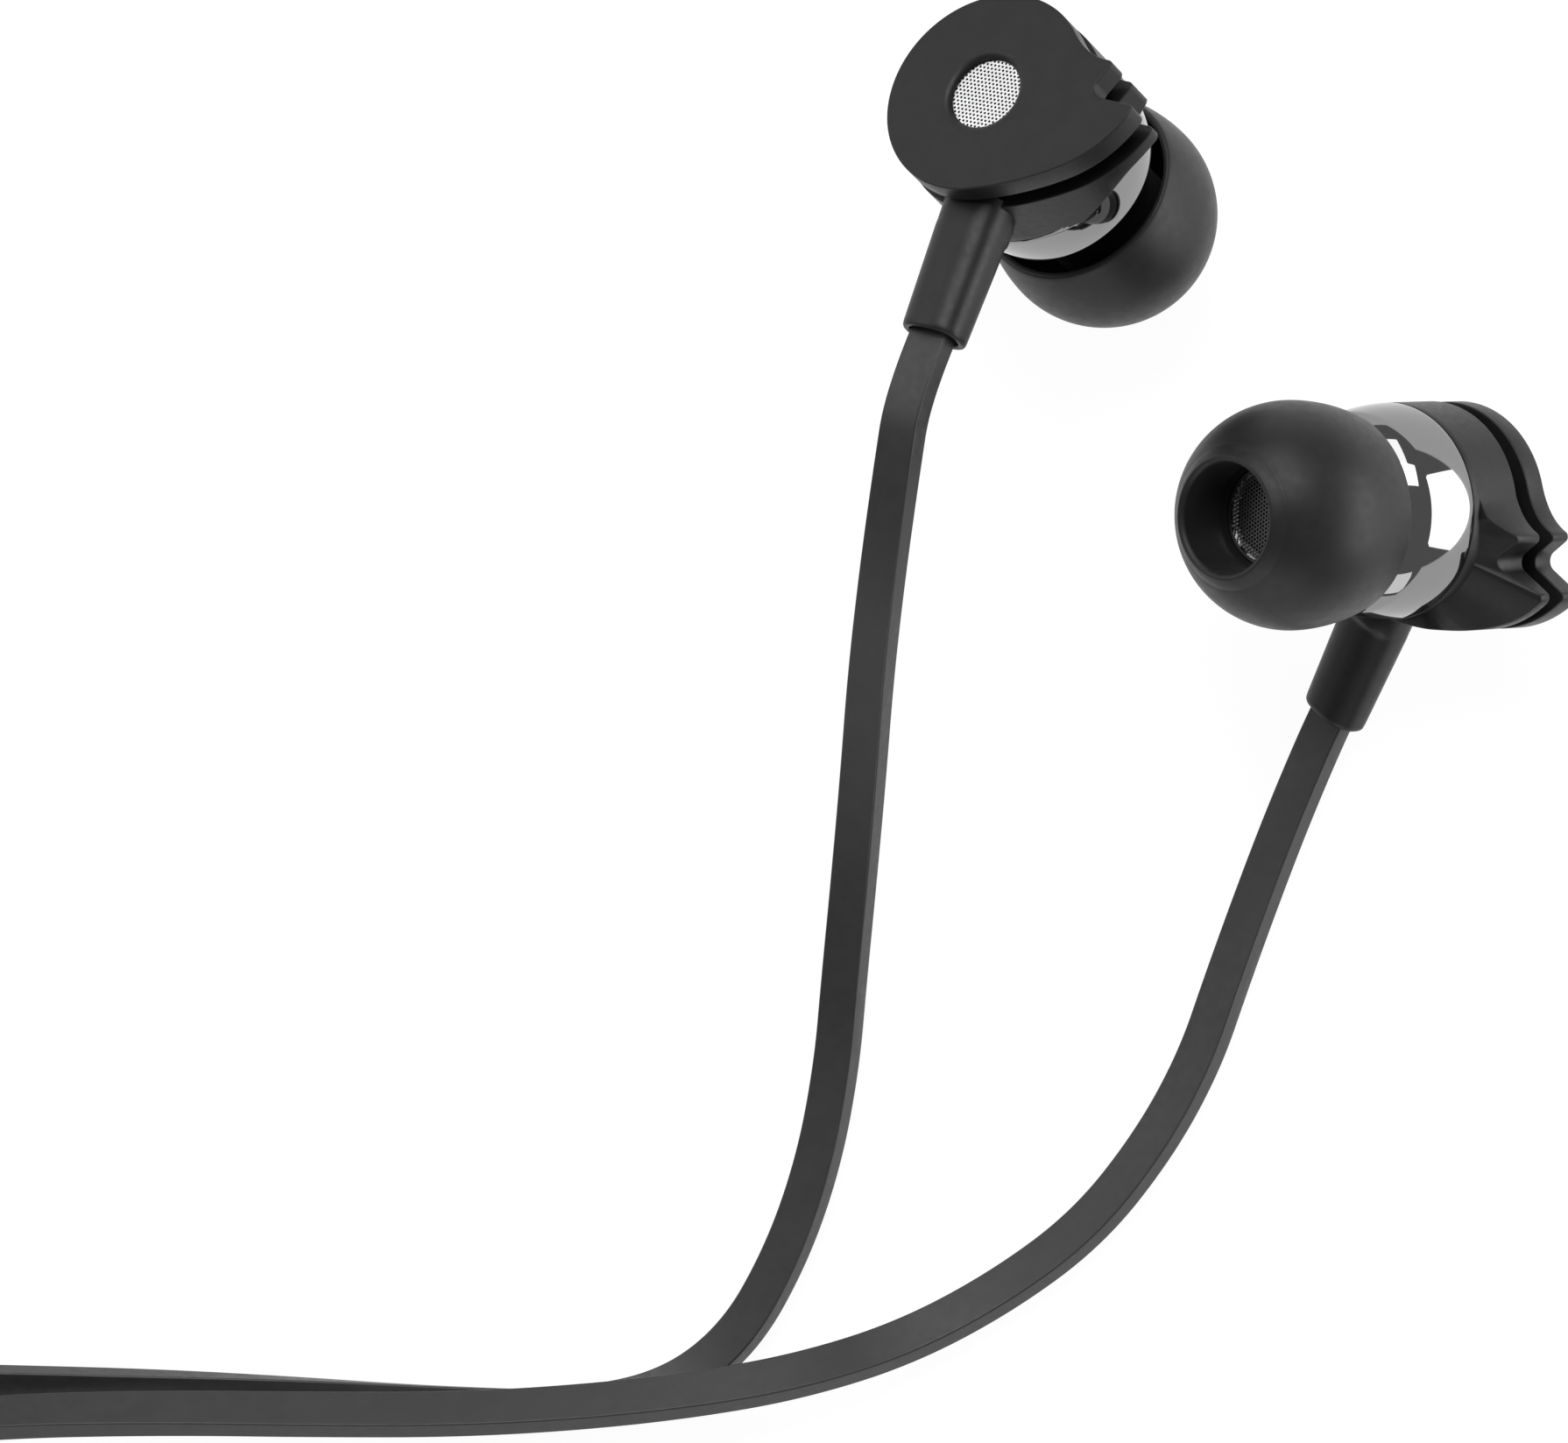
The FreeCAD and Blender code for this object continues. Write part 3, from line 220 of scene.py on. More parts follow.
class Surface:
    """A principled material with its nodes at hand."""

    def __init__(self, name, colour, roughness, metallic=0.0):
        self.material = bpy.data.materials.new(name)
        self.material.use_nodes = True
        self.tree = self.material.node_tree
        self.shader = self.tree.nodes["Principled BSDF"]
        self.shader.inputs["Base Color"].default_value = colour
        self.shader.inputs["Roughness"].default_value = roughness
        self.shader.inputs["Metallic"].default_value = metallic

    def node(self, kind, **settings):
        made = self.tree.nodes.new(kind)
        for key, value in settings.items():
            setattr(made, key, value)
        return made

    def link(self, out, into):
        self.tree.links.new(out, into)

    def noise(self, scale, detail=3.0, stretch=None):
        """Noise in the object's own coordinates; scale is features per metre."""
        place = self.node("ShaderNodeTexCoord").outputs["Object"]
        if stretch is not None:
            mapping = self.node("ShaderNodeMapping")
            mapping.inputs["Scale"].default_value = stretch
            self.link(place, mapping.inputs["Vector"])
            place = mapping.outputs["Vector"]
        texture = self.node("ShaderNodeTexNoise")
        texture.inputs["Scale"].default_value = scale
        texture.inputs["Detail"].default_value = detail
        self.link(place, texture.inputs["Vector"])
        return texture.outputs["Fac"]

    def ramp(self, value, low, high, start, end):
        """The value from low to high spread over start to end."""
        spread = self.node("ShaderNodeMapRange")
        spread.inputs["From Min"].default_value = low
        spread.inputs["From Max"].default_value = high
        spread.inputs["To Min"].default_value = start
        spread.inputs["To Max"].default_value = end
        self.link(value, spread.inputs["Value"])
        return spread.outputs["Result"]

    def vary_roughness(self, scale, least, most):
        self.link(self.ramp(self.noise(scale), 0.3, 0.7, least, most),
                  self.shader.inputs["Roughness"])

    def vary_colour(self, scale, dark, light):
        mix = self.node("ShaderNodeMix", data_type="RGBA")
        mix.inputs["A"].default_value = dark
        mix.inputs["B"].default_value = light
        self.link(self.ramp(self.noise(scale), 0.35, 0.65, 0, 1), mix.inputs["Factor"])
        self.link(mix.outputs["Result"], self.shader.inputs["Base Color"])

    def bumps(self, scale, height, strength=0.5, stretch=None):
        bump = self.node("ShaderNodeBump")
        bump.inputs["Strength"].default_value = strength
        bump.inputs["Distance"].default_value = height
        self.link(self.noise(scale, 4.0, stretch), bump.inputs["Height"])
        self.link(bump.outputs["Normal"], self.shader.inputs["Normal"])


def make_surfaces():
    surfaces = {}

    plastic = Surface("satin_plastic", grey(26), 0.38)
    plastic.vary_colour(900, grey(24), grey(28))
    plastic.vary_roughness(2500, 0.38, 0.46)
    plastic.bumps(9000, 0.000012, 0.35)
    plastic.shader.inputs["Specular IOR Level"].default_value = 0.33
    surfaces["black_plastic"] = plastic

    silicone = Surface("silicone", grey(26), 0.46)
    silicone.vary_colour(700, grey(24), grey(28))
    silicone.vary_roughness(1800, 0.42, 0.5)
    silicone.bumps(7000, 0.00001, 0.3)
    silicone.shader.inputs["Sheen Weight"].default_value = 0.05
    silicone.shader.inputs["Specular IOR Level"].default_value = 0.33
    surfaces["silicone"] = silicone

    chrome = Surface("mirror_chrome", (0.26, 0.26, 0.264, 1), 0.04, 1.0)
    chrome.vary_roughness(1500, 0.03, 0.055)
    surfaces["mirror_chrome"] = chrome

    grille = Surface("bright_grille", grey(225), 0.3, 1.0)
    grille.vary_roughness(3000, 0.24, 0.36)
    surfaces["bright_grille"] = grille

    mesh = Surface("dark_mesh", grey(140), 0.34, 1.0)
    mesh.vary_roughness(3000, 0.3, 0.4)
    surfaces["dark_mesh"] = mesh

    jacket = Surface("cord_jacket", grey(42), 0.42)
    jacket.vary_colour(600, grey(40), grey(44))
    jacket.vary_roughness(2000, 0.38, 0.47)
    jacket.bumps(6000, 0.000008, 0.25)
    surfaces["cord_jacket"] = jacket

    felt = Surface("felt", grey(18), 0.95)
    felt.bumps(12000, 0.00003, 0.8)
    surfaces["felt"] = felt

    copper = Surface("copper", (0.72, 0.33, 0.18, 1), 0.3, 1.0)
    copper.vary_roughness(4000, 0.25, 0.4)
    surfaces["copper"] = copper

    board = Surface("board", (0.02, 0.12, 0.04, 1), 0.45)
    board.vary_colour(1500, (0.015, 0.1, 0.03, 1), (0.03, 0.15, 0.05, 1))
    surfaces["board"] = board

    steel = Surface("driver_steel", grey(170), 0.4, 1.0)
    steel.bumps(5000, 0.00001, 0.3, (1, 1, 8))
    surfaces["driver_steel"] = steel

    magnet = Surface("magnet", grey(190), 0.22, 1.0)
    magnet.vary_roughness(2500, 0.18, 0.3)
    surfaces["magnet"] = magnet

    brass = Surface("driver_frame", (0.62, 0.47, 0.2, 1), 0.35, 1.0)
    brass.vary_roughness(2500, 0.3, 0.42)
    surfaces["driver_frame"] = brass

    film = Surface("film", (0.6, 0.52, 0.38, 1), 0.25)
    film.shader.inputs["Coat Weight"].default_value = 0.4
    film.bumps(4000, 0.00001, 0.3)
    surfaces["film"] = film

    gasket = Surface("gasket", grey(28), 0.8)
    gasket.bumps(9000, 0.00002, 0.5)
    surfaces["gasket"] = gasket

    strap = Surface("tie_strap", grey(38), 0.6)
    strap.bumps(8000, 0.00002, 0.6, (1, 12, 1))
    surfaces["tie_strap"] = strap

    gold = Surface("contact_plate", (0.9, 0.66, 0.3, 1), 0.14, 1.0)
    gold.vary_roughness(2500, 0.1, 0.2)
    surfaces["contact_plate"] = gold

    collar = Surface("collar_plate", (0.75, 0.75, 0.77, 1), 0.18, 1.0)
    collar.vary_roughness(2500, 0.14, 0.24)
    surfaces["collar_plate"] = collar

    insulator = Surface("insulator", grey(22), 0.2)
    insulator.vary_roughness(3000, 0.16, 0.26)
    surfaces["insulator"] = insulator

    return {name: surface.material for name, surface in surfaces.items()}


SURFACES = make_surfaces()


# Curves and outlines


def bend(start, corner, end, steps):
    """Points of the arc from start to end that is tangent to the lines from both to the corner."""
    half_chord = (end - start).length / 2
    weight = half_chord / max((corner - start).length, 1e-9)
    points = []
    for step in range(steps + 1):
        t = step / steps
        low, middle, high = (1 - t) ** 2, 2 * weight * t * (1 - t), t ** 2
        points.append((start * low + corner * middle + end * high) / (low + middle + high))
    return points


def two_bends(start, heading, end, end_heading, steps):
    """Two arcs that leave start along heading and reach end along end_heading."""
    way = end - start
    spread = 2 * (1 - heading.dot(end_heading))
    reach = way.dot(heading + end_heading)
    length = (math.sqrt(reach ** 2 + spread * way.length_squared) - reach) / spread
    first = start + heading * length
    second = end - end_heading * length
    joint = (first + second) / 2
    return bend(start, first, joint, steps) + bend(joint, second, end, steps)[1:]


def round_off(before, corner, after, radius, steps=6):
    """Points of the fillet of this radius between two straight edges."""
    back = (before - corner).normalized()
    ahead = (after - corner).normalized()
    cut = radius / math.tan(back.angle(ahead) / 2)
    return bend(corner + back * cut, corner, corner + ahead * cut, steps)


def bulge(start, end, radius, side, steps):
    """Points of the shorter arc of this radius, its centre to the left for side +1."""
    chord = end - start
    left = Vector((-chord.y, chord.x)).normalized()
    to_centre = math.sqrt(max(radius ** 2 - (chord.length / 2) ** 2, 0))
    middle = (start + end) / 2
    centre = middle + left * side * to_centre
    first = start - centre
    sweep = side * 2 * math.asin(min(1.0, chord.length / 2 / radius))
    points = []
    for step in range(steps + 1):
        spun = first.copy()
        spun.rotate(Matrix.Rotation(sweep * step / steps, 2))
        points.append(centre + spun)
    return points


def polar(radius, angle):
    turn = math.radians(angle)
    return Vector((radius * math.cos(turn), radius * math.sin(turn)))


def leaf_outline():
    """The leaf of the cover and flange: a circle that runs out into two hooks and a notch."""
    upper_angle, lower_angle = 47.0, -75.0
    hook_one = Vector((7.28, 3.1))
    hook_two = Vector((9.5, 0.78))
    notch = Vector((6.42, 0.9))
    brow = hook_one - Vector((0.55, 0))
    cheek = hook_two - Vector((0, 0.42))
    upper = polar(LEAF_RADIUS, upper_angle)
    lower = polar(LEAF_RADIUS, lower_angle)
    outline = two_bends(upper, polar(1, upper_angle - 90), brow, Vector((1, 0)), 10)
    outline += round_off(brow, hook_one, notch, HOOK_ROUND)
    outline += round_off(hook_one, notch, hook_two, 0.6, 10)
    outline += round_off(notch, hook_two, cheek, HOOK_ROUND)
    outline += two_bends(cheek, polar(1, -107.5), lower, polar(1, lower_angle - 90), 16)
    sweep = upper_angle - lower_angle - 360
    steps = 72
    for step in range(1, steps):
        outline.append(polar(LEAF_RADIUS, lower_angle + sweep * step / steps))
    kept = [outline[0]]
    for point in outline[1:]:
        if (point - kept[-1]).length > 0.02:
            kept.append(point)
    return kept


def drawn_in(outline, inset):
    """The outline moved inwards by inset along its normals."""
    count = len(outline)
    moved = []
    for index, point in enumerate(outline):
        along = outline[(index + 1) % count] - outline[index - 1]
        inwards = Vector((along.y, -along.x)).normalized()
        moved.append(point + inwards * inset)
    return moved


def on_circle(outline, radius):
    return [point.normalized() * radius for point in outline]


# Meshes


def finish_mesh(name, body, material, points, faces, matrix, replaces, sharp=35):
    """A smooth-shaded piece from points in its own frame, riding on its body."""
    mesh = bpy.data.meshes.new(name)
    mesh.from_pydata([matrix @ Vector(point) for point in points], [], faces)
    work = bmesh.new()
    work.from_mesh(mesh)
    bmesh.ops.remove_doubles(work, verts=work.verts, dist=1e-6)
    bmesh.ops.recalc_face_normals(work, faces=work.faces)
    work.to_mesh(mesh)
    work.free()
    mesh.materials.append(SURFACES[material])
    mesh.shade_smooth()
    mesh.set_sharp_from_angle(angle=math.radians(sharp))
    piece = bpy.data.objects.new(name, mesh)
    bpy.context.scene.collection.objects.link(piece)
    weighted = piece.modifiers.new("weighted", "WEIGHTED_NORMAL")
    weighted.keep_sharp = True
    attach(piece, body)
    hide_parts(*replaces)
    return piece


def skin(rings, capped=False):
    """Points and faces through rings of equal count: a ring of rings, or a tube with two caps."""
    count = len(rings[0])
    points = [point for ring in rings for point in ring]
    faces = []
    pairs = len(rings) - 1 if capped else len(rings)
    for ring in range(pairs):
        here = ring * count
        there = (ring + 1) % len(rings) * count
        for index in range(count):
            after = (index + 1) % count
            faces.append((here + index, here + after, there + after, there + index))
    if capped:
        faces.append(tuple(range(count)))
        faces.append(tuple(range(len(points) - count, len(points))))
    return points, faces


def turned(profile, segments):
    """Points and faces of a closed profile of (radius, height) turned about Z."""
    rings = []
    for radius, height in profile:
        ring = []
        for step in range(segments):
            turn = 2 * math.pi * step / segments
            ring.append((radius * math.cos(turn), radius * math.sin(turn), height))
        rings.append(ring)
    return skin(rings)


def profile_through(corners, steps=5):
    """A closed profile with its corners (radius, height, rounding) rounded off."""
    count = len(corners)
    places = [Vector(corner[:2]) for corner in corners]
    profile = []
    for index, corner in enumerate(corners):
        if corner[2] > 0:
            profile += round_off(places[index - 1], places[index], places[(index + 1) % count],
                                 corner[2], steps)
        else:
            profile.append(places[index])
    return profile


def rounded_box(width, height, rounding, steps=5):
    """Points round a box, middle at the origin, with its four corners rounded off."""
    right = width / 2
    top = height / 2
    corners = [(right, -top, rounding), (right, top, rounding),
               (-right, top, rounding), (-right, -top, rounding)]
    return profile_through(corners, steps)


def raised(outline, height, side):
    return [(side * point.x, point.y, height) for point in outline]


def edge_levels(low, high, rounding):
    """Insets and heights of a wall from low to high with both its edges rounded."""
    levels = []
    for step in range(EDGE_STEPS + 1):
        turn = math.pi / 2 * step / EDGE_STEPS
        levels.append((rounding * (1 - math.sin(turn)), low + rounding * (1 - math.cos(turn))))
    for step in range(EDGE_STEPS, -1, -1):
        turn = math.pi / 2 * step / EDGE_STEPS
        levels.append((rounding * (1 - math.sin(turn)), high - rounding * (1 - math.cos(turn))))
    return levels


def back_cover(side):
    hooks = HOOK_SIDE[side]
    outline = leaf_outline()
    rings = []
    funnel = Vector((WINDOW_RADIUS, GRILLE_SEAT - 0.05))
    for radius, height in [(GRILLE_RADIUS, GRILLE_SEAT), (WINDOW_RADIUS, GRILLE_SEAT),
                           (WINDOW_RADIUS, funnel.y)]:
        rings.append(raised(on_circle(outline, radius), height, hooks))
    for point in bend(funnel, Vector((2.12, 0.06)), Vector((2.42, 0)), 6):
        rings.append(raised(on_circle(outline, point.x), point.y, hooks))
    rings.append(raised(on_circle(outline, 2.47), 0, hooks))
    rings.append(raised(drawn_in(outline, 0.13), 0, hooks))
    for inset, height in edge_levels(0, PLATE_TOP, 0.09):
        rings.append(raised(drawn_in(outline, inset), height, hooks))
    for radius, height in [(NECK_RADIUS, PLATE_TOP), (NECK_RADIUS, FLANGE_LOW),
                           (SPIGOT_RADIUS, FLANGE_LOW), (SPIGOT_RADIUS, COVER_SPIGOT_TOP),
                           (GRILLE_RADIUS, COVER_SPIGOT_TOP)]:
        rings.append(raised(on_circle(outline, radius), height, hooks))
    points, faces = skin(rings)
    finish_mesh(side + "_cover_plate", ROOT, "black_plastic", points, faces, LOCAL[side],
                [side + "_back_cover"])


def slope_height(point):
    """Height of the flange's front face, which falls away towards the hooks."""
    fall = SLOPE_TOP - max(0.0, point.x - SLOPE_START) * SLOPE_FALL - FLANGE_TIP_TOP
    softness = 0.12
    return FLANGE_TIP_TOP + (fall + math.sqrt(fall ** 2 + softness)) / 2 - 0.03


def rear_housing(side):
    hooks = HOOK_SIDE[side]
    outline = leaf_outline()
    edge = 0.07
    mouth = 5.58
    hollow = 5.2
    floor = 2.95
    wide = [point if point.length > DRUM_RADIUS else point.normalized() * DRUM_RADIUS
            for point in outline]
    inner = [point if point.length > DRUM_RADIUS else point.normalized() * DRUM_RADIUS
             for point in drawn_in(wide, edge)]
    drum = on_circle(outline, DRUM_RADIUS)
    rings = [raised(on_circle(outline, SPIGOT_RADIUS), FLANGE_LOW, hooks)]
    for inset, height in edge_levels(FLANGE_LOW, DRUM_TOP, edge)[:EDGE_STEPS + 1]:
        rings.append(raised(drawn_in(wide, inset), height, hooks))
    rings.append([(hooks * p.x, p.y, slope_height(p) - edge) for p in wide])
    rings.append([(hooks * (p.x * 0.7 + q.x * 0.3), p.y * 0.7 + q.y * 0.3,
                   slope_height(p) - edge * 0.3) for p, q in zip(wide, inner)])
    rings.append([(hooks * p.x, p.y, slope_height(p)) for p in inner])
    rings.append([(hooks * p.x, p.y, slope_height(p) + 0.02) for p in drum])
    for radius, height in [(DRUM_RADIUS, DRUM_TOP - 0.1), (DRUM_RADIUS - 0.03, DRUM_TOP - 0.03),
                           (DRUM_RADIUS - 0.1, DRUM_TOP), (mouth, DRUM_TOP), (mouth, JOINT_LOW),
                           (hollow, JOINT_LOW), (hollow, floor), (SPIGOT_RADIUS, floor)]:
        rings.append(raised(on_circle(outline, radius), height, hooks))
    points, faces = skin(rings)
    finish_mesh(side + "_drum_and_flange", ROOT, "black_plastic", points, faces, LOCAL[side],
                [side + "_rear_housing"], sharp=30)


def front_housing(side):
    """Chromed bell: joint, swelling barrel, round shoulder, nozzle with its bead, and inside."""
    joint = 5.55
    inside = 5.3
    profile = [Vector((joint, JOINT_LOW)), Vector((joint, DRUM_TOP)), Vector((5.84, DRUM_TOP)),
               Vector((5.92, DRUM_TOP + 0.05))]
    barrel_end = Vector((5.5, BARREL_TOP))
    shoulder_end = Vector((NOZZLE_RADIUS, SHOULDER_TOP))
    profile += bulge(Vector((DRUM_RADIUS, DRUM_TOP + 0.16)), barrel_end, 14.0, 1, 16)
    profile += bulge(barrel_end, shoulder_end, 3.4, 1, 24)[1:]
    profile += [Vector((NOZZLE_RADIUS, 15.5)), Vector((BEAD_RADIUS, 15.76)),
                Vector((BEAD_RADIUS, NOZZLE_TOP - 0.08)), Vector((2.67, NOZZLE_TOP)),
                Vector((NOZZLE_RADIUS, NOZZLE_TOP)), Vector((NOZZLE_RADIUS, SCREEN_SEAT)),
                Vector((NOZZLE_BORE, SCREEN_SEAT)), Vector((NOZZLE_BORE, 10.47)),
                Vector((4.7, 8.8)), Vector((inside, 8.8)), Vector((inside, JOINT_LOW))]
    points, faces = turned(profile, 192)
    finish_mesh(side + "_bell", ROOT, "mirror_chrome", points, faces, LOCAL[side],
                [side + "_front_housing"])


def ear_tip(side):
    """Silicone dome with its rolled mouth, thin skirt, and the core that grips the nozzle."""
    inner = TIP_RADIUS - TIP_WALL
    skirt = TIP_MIDDLE - SKIRT_DEPTH
    mouth = 3.0
    crest = 3.3
    shoulder = 4.0
    core = 3.6
    grip = 2.8
    lip_edge = TIP_MIDDLE + math.sqrt(TIP_RADIUS ** 2 - shoulder ** 2)
    core_root = TIP_MIDDLE + math.sqrt(inner ** 2 - core ** 2)
    drawn = TIP_RADIUS - SKIRT_RADIUS
    skirt_bulge = (SKIRT_DEPTH ** 2 + drawn ** 2) / (2 * drawn)
    top = Vector((crest, TIP_MOUTH + 0.02))
    equator = Vector((TIP_RADIUS, TIP_MIDDLE))
    hem = Vector((SKIRT_RADIUS, skirt + 0.12))
    profile = bulge(Vector((mouth, TIP_MOUTH - 0.25)), top, 0.42, -1, 6)
    profile += bulge(top, Vector((3.95, lip_edge + 0.03)), 2.4, -1, 8)[1:]
    profile += bulge(Vector((shoulder, lip_edge)), equator, TIP_RADIUS, -1, 36)
    profile += bulge(equator, hem, skirt_bulge, -1, 12)[1:]
    profile += bulge(hem, Vector((5.3, skirt + 0.12)), 0.22, -1, 6)[1:]
    profile += bulge(Vector((5.3, skirt + 0.14)), Vector((inner, TIP_MIDDLE)), skirt_bulge, 1, 12)[1:]
    profile += bulge(Vector((inner, TIP_MIDDLE)), Vector((core, core_root)), inner, 1, 18)[1:]
    profile += [Vector((core, skirt + 0.43)), Vector((core - 0.08, skirt + 0.35)),
                Vector((grip + 0.08, skirt + 0.35)), Vector((grip, skirt + 0.43)),
                Vector((grip, NOZZLE_TOP + 0.05)), Vector((mouth, NOZZLE_TOP + 0.05))]
    points, faces = turned(profile, 160)
    finish_mesh(side + "_soft_tip", side + "_ear_tip", "silicone", points, faces, LOCAL[side],
                [side + "_ear_tip"], sharp=60)


def stem_ring(side, reach, lip, inset):
    """Section of the stem at this reach along -Y: an oval that is a little squared."""
    hooks = HOOK_SIDE[side]
    out = reach - STEM_MEASURED
    half_width = STEM_HALF_WIDTH - STEM_WIDTH_TAPER * out - inset
    half_depth = STEM_HALF_DEPTH - STEM_DEPTH_TAPER * out - inset + lip / 2
    x = STEM_LEAN_X + STEM_LEAN * out
    z = STEM_Z + lip / 2
    ring = []
    for step in range(STEM_POINTS):
        turn = 2 * math.pi * (step + 0.5) / STEM_POINTS
        wide, deep = math.cos(turn), math.sin(turn)
        across = math.copysign(abs(wide) ** STEM_SQUARE, wide) * half_width
        up = math.copysign(abs(deep) ** STEM_SQUARE, deep) * half_depth
        ring.append((hooks * (x + across), -reach, z + up))
    return ring


def stem(side):
    """Strain relief: collar, tapered stem, rounded end and the recess that holds the cord.

    Each station has its reach, how far the collar's lip stands out there, and its inset.
    """
    stations = [
        (5.05, 0.0, 0.0), (5.7, 0.0, 0.0), (5.9, COLLAR_LIP, 0.0), (6.7, COLLAR_LIP, 0.0),
        (6.85, 0.15, 0.0), (7.0, 0.05, 0.0), (7.1, 0.0, 0.0), (7.3, 0.0, 0.0), (12.8, 0.0, 0.0),
        (STEM_END - 0.12, 0.0, 0.02), (STEM_END - 0.03, 0.0, 0.07), (STEM_END, 0.0, 0.14),
        (STEM_END, 0.0, 0.3), (STEM_END - 0.03, 0.0, 0.36), (STEM_END - 0.12, 0.0, 0.39),
        (STEM_END - STEM_RECESS, 0.0, 0.39)]
    rings = [stem_ring(side, reach, lip, inset) for reach, lip, inset in stations]
    points, faces = skin(rings, capped=True)
    finish_mesh(side + "_stem", ROOT, "black_plastic", points, faces, LOCAL[side],
                [side + "_strain_relief"], sharp=50)


def perforated(side, name, material, replaced, radius, pitch, hole, low, high):
    """A thin disc of hexagonal cells, each with a hole through it."""
    points = []
    faces = []
    row_pitch = pitch * HEX_ROW
    rows = int(radius / row_pitch) + 1
    corners = [polar(1, 60 * number + 30) for number in range(6)]
    for row in range(-rows, rows + 1):
        shift = pitch / 2 if row % 2 else 0.0
        for column in range(-rows - 1, rows + 2):
            middle = Vector((column * pitch + shift, row * row_pitch))
            if middle.length > radius - pitch / 2:
                continue
            first = len(points)
            for size, height in ((pitch / math.sqrt(3), low), (hole, low), (hole, high)):
                for corner in corners:
                    place = middle + corner * size
                    points.append((place.x, place.y, height))
            for number in range(6):
                after = (number + 1) % 6
                for level in (0, 6):
                    here = first + level
                    faces.append((here + number, here + after, here + 6 + after, here + 6 + number))
    finish_mesh(side + name, ROOT, material, points, faces, LOCAL[side], [side + replaced])


def make_earbuds():
    for side in SIDES:
        back_cover(side)
        rear_housing(side)
        front_housing(side)
        ear_tip(side)
        stem(side)
        perforated(side, "_rear_grille", "bright_grille", "_back_grille", radius=2.55,
                   pitch=0.25, hole=0.08, low=0.37, high=0.385)
        perforated(side, "_nozzle_screen", "dark_mesh", "_nozzle_mesh", radius=2.5,
                   pitch=0.22, hole=0.085, low=16.6, high=16.52)


# Cords


def route_curve(name, places):
    """A smooth line through the places as control points, and the points that it runs through."""
    curve = bpy.data.curves.new(name, "CURVE")
    curve.dimensions = "3D"
    curve.resolution_u = 10
    spline = curve.splines.new("NURBS")
    spline.points.add(len(places) - 1)
    for point, place in zip(spline.points, places):
        point.co = (*place, 1)
    spline.order_u = 3
    spline.use_endpoint_u = True
    holder = bpy.data.objects.new(name, curve)
    mesh = bpy.data.meshes.new_from_object(holder)
    line = [vertex.co.copy() for vertex in mesh.vertices]
    bpy.data.meshes.remove(mesh)
    bpy.data.objects.remove(holder)
    bpy.data.curves.remove(curve)
    return line


def leans(line, keys):
    """Lean of the section at each point of the line, from (metres along it, degrees) keys."""
    along = 0.0
    values = []
    for index, point in enumerate(line):
        if index:
            along += (point - line[index - 1]).length
        value = keys[-1][1]
        for (start, low), (end, high) in zip(keys, keys[1:]):
            if along <= end:
                share = max(0.0, min(1.0, (along - start) / (end - start)))
                share = share * share * (3 - 2 * share)
                value = low + (high - low) * share
                break
        values.append(math.radians(value))
    return values


def ribbon_section(width, thickness):
    return [point * MM for point in rounded_box(width, thickness, CORD_ROUND, 3)]


def ribbon(name, line, section, lean, replaced):
    """A flat cord along the line; a lean of 0 lays it flat and 90 stands it on its edge."""
    rings = []
    for index, point in enumerate(line):
        ahead = (line[min(index + 1, len(line) - 1)] - line[max(index - 1, 0)]).normalized()
        across = ahead.cross(Vector((0, 0, 1))).normalized()
        above = across.cross(ahead)
        wide = across * math.cos(lean[index]) + above * math.sin(lean[index])
        thick = above * math.cos(lean[index]) - across * math.sin(lean[index])
        rings.append([point + wide * corner.x + thick * corner.y for corner in section])
    points, faces = skin(rings, capped=True)
    return finish_mesh(name, ROOT, "cord_jacket", points, faces, Matrix.Identity(4), replaced,
                       sharp=50)


def coil_place(radius, turn, height):
    """A control point of the turns: turn in half turns clockwise from the left."""
    angle = math.pi * (1 - turn)
    place = Vector((radius * math.cos(angle), radius * math.sin(angle), height))
    return COIL_LOCAL @ place


def loop_places(radius):
    """One put-away loop of a branch: in at the bottom, round by the left, and back there."""
    swell = 1 / math.cos(math.pi / TURN_POINTS)
    places = []
    for step in range(1, TURN_POINTS):
        share = step / TURN_POINTS
        near = radius - LOOP_PITCH * share
        places.append(coil_place(near * swell, share * 2 - 0.5, LOOP_Z))
    end = Vector((SPLITTER_HALF, LOOP_PITCH - radius, LOOP_Z))
    places[-1] = COIL_LOCAL @ (end + Vector((6.5, 0.6, 0)))
    places.append(COIL_LOCAL @ (end + Vector((2.5, 0, 0))))
    places.append(COIL_LOCAL @ end)
    return places


def branch_cord(side, route, radius, keys):
    hooks = HOOK_SIDE[side]
    matrix = LOCAL[side]
    exit_place = matrix @ Vector((hooks * STEM_X, STEM_RECESS - STEM_END, STEM_Z))
    out = (matrix.to_3x3() @ Vector((0, -1, 0))).normalized()
    places = [exit_place, exit_place + out * EXIT_RUN[side]]
    places += [Vector(place) for place in route]
    places += loop_places(radius)
    line = route_curve(side + "_line", places)
    lean = leans(line, keys)
    piece = ribbon(side + "_flat_cord", line, ribbon_section(*BRANCH), lean,
                   [side + "_cord", side + "_cord_turns"])


def coil_level(half_turns):
    """Radius and height of the main cord's coil after so many half turns."""
    innermost = COIL_RADIUS - COIL_STEP * COIL_HALF_TURNS
    radii = [COIL_RADIUS - COIL_STEP * number for number in range(COIL_HALF_TURNS)]
    radii += [innermost - COIL_CLIMB_ROOM] * 2
    radii += [innermost + COIL_STEP * number for number in range(1, COIL_HALF_TURNS + 2)]
    index = min(int(half_turns), len(radii) - 2)
    share = half_turns - index
    eased = (1 - math.cos(math.pi * share)) / 2
    radius = radii[index] + (radii[index + 1] - radii[index]) * eased
    climbed = max(0.0, min(1.0, half_turns - COIL_HALF_TURNS))
    height = COIL_LOW + COIL_LAYER * (1 - math.cos(math.pi * climbed)) / 2
    return radius, height


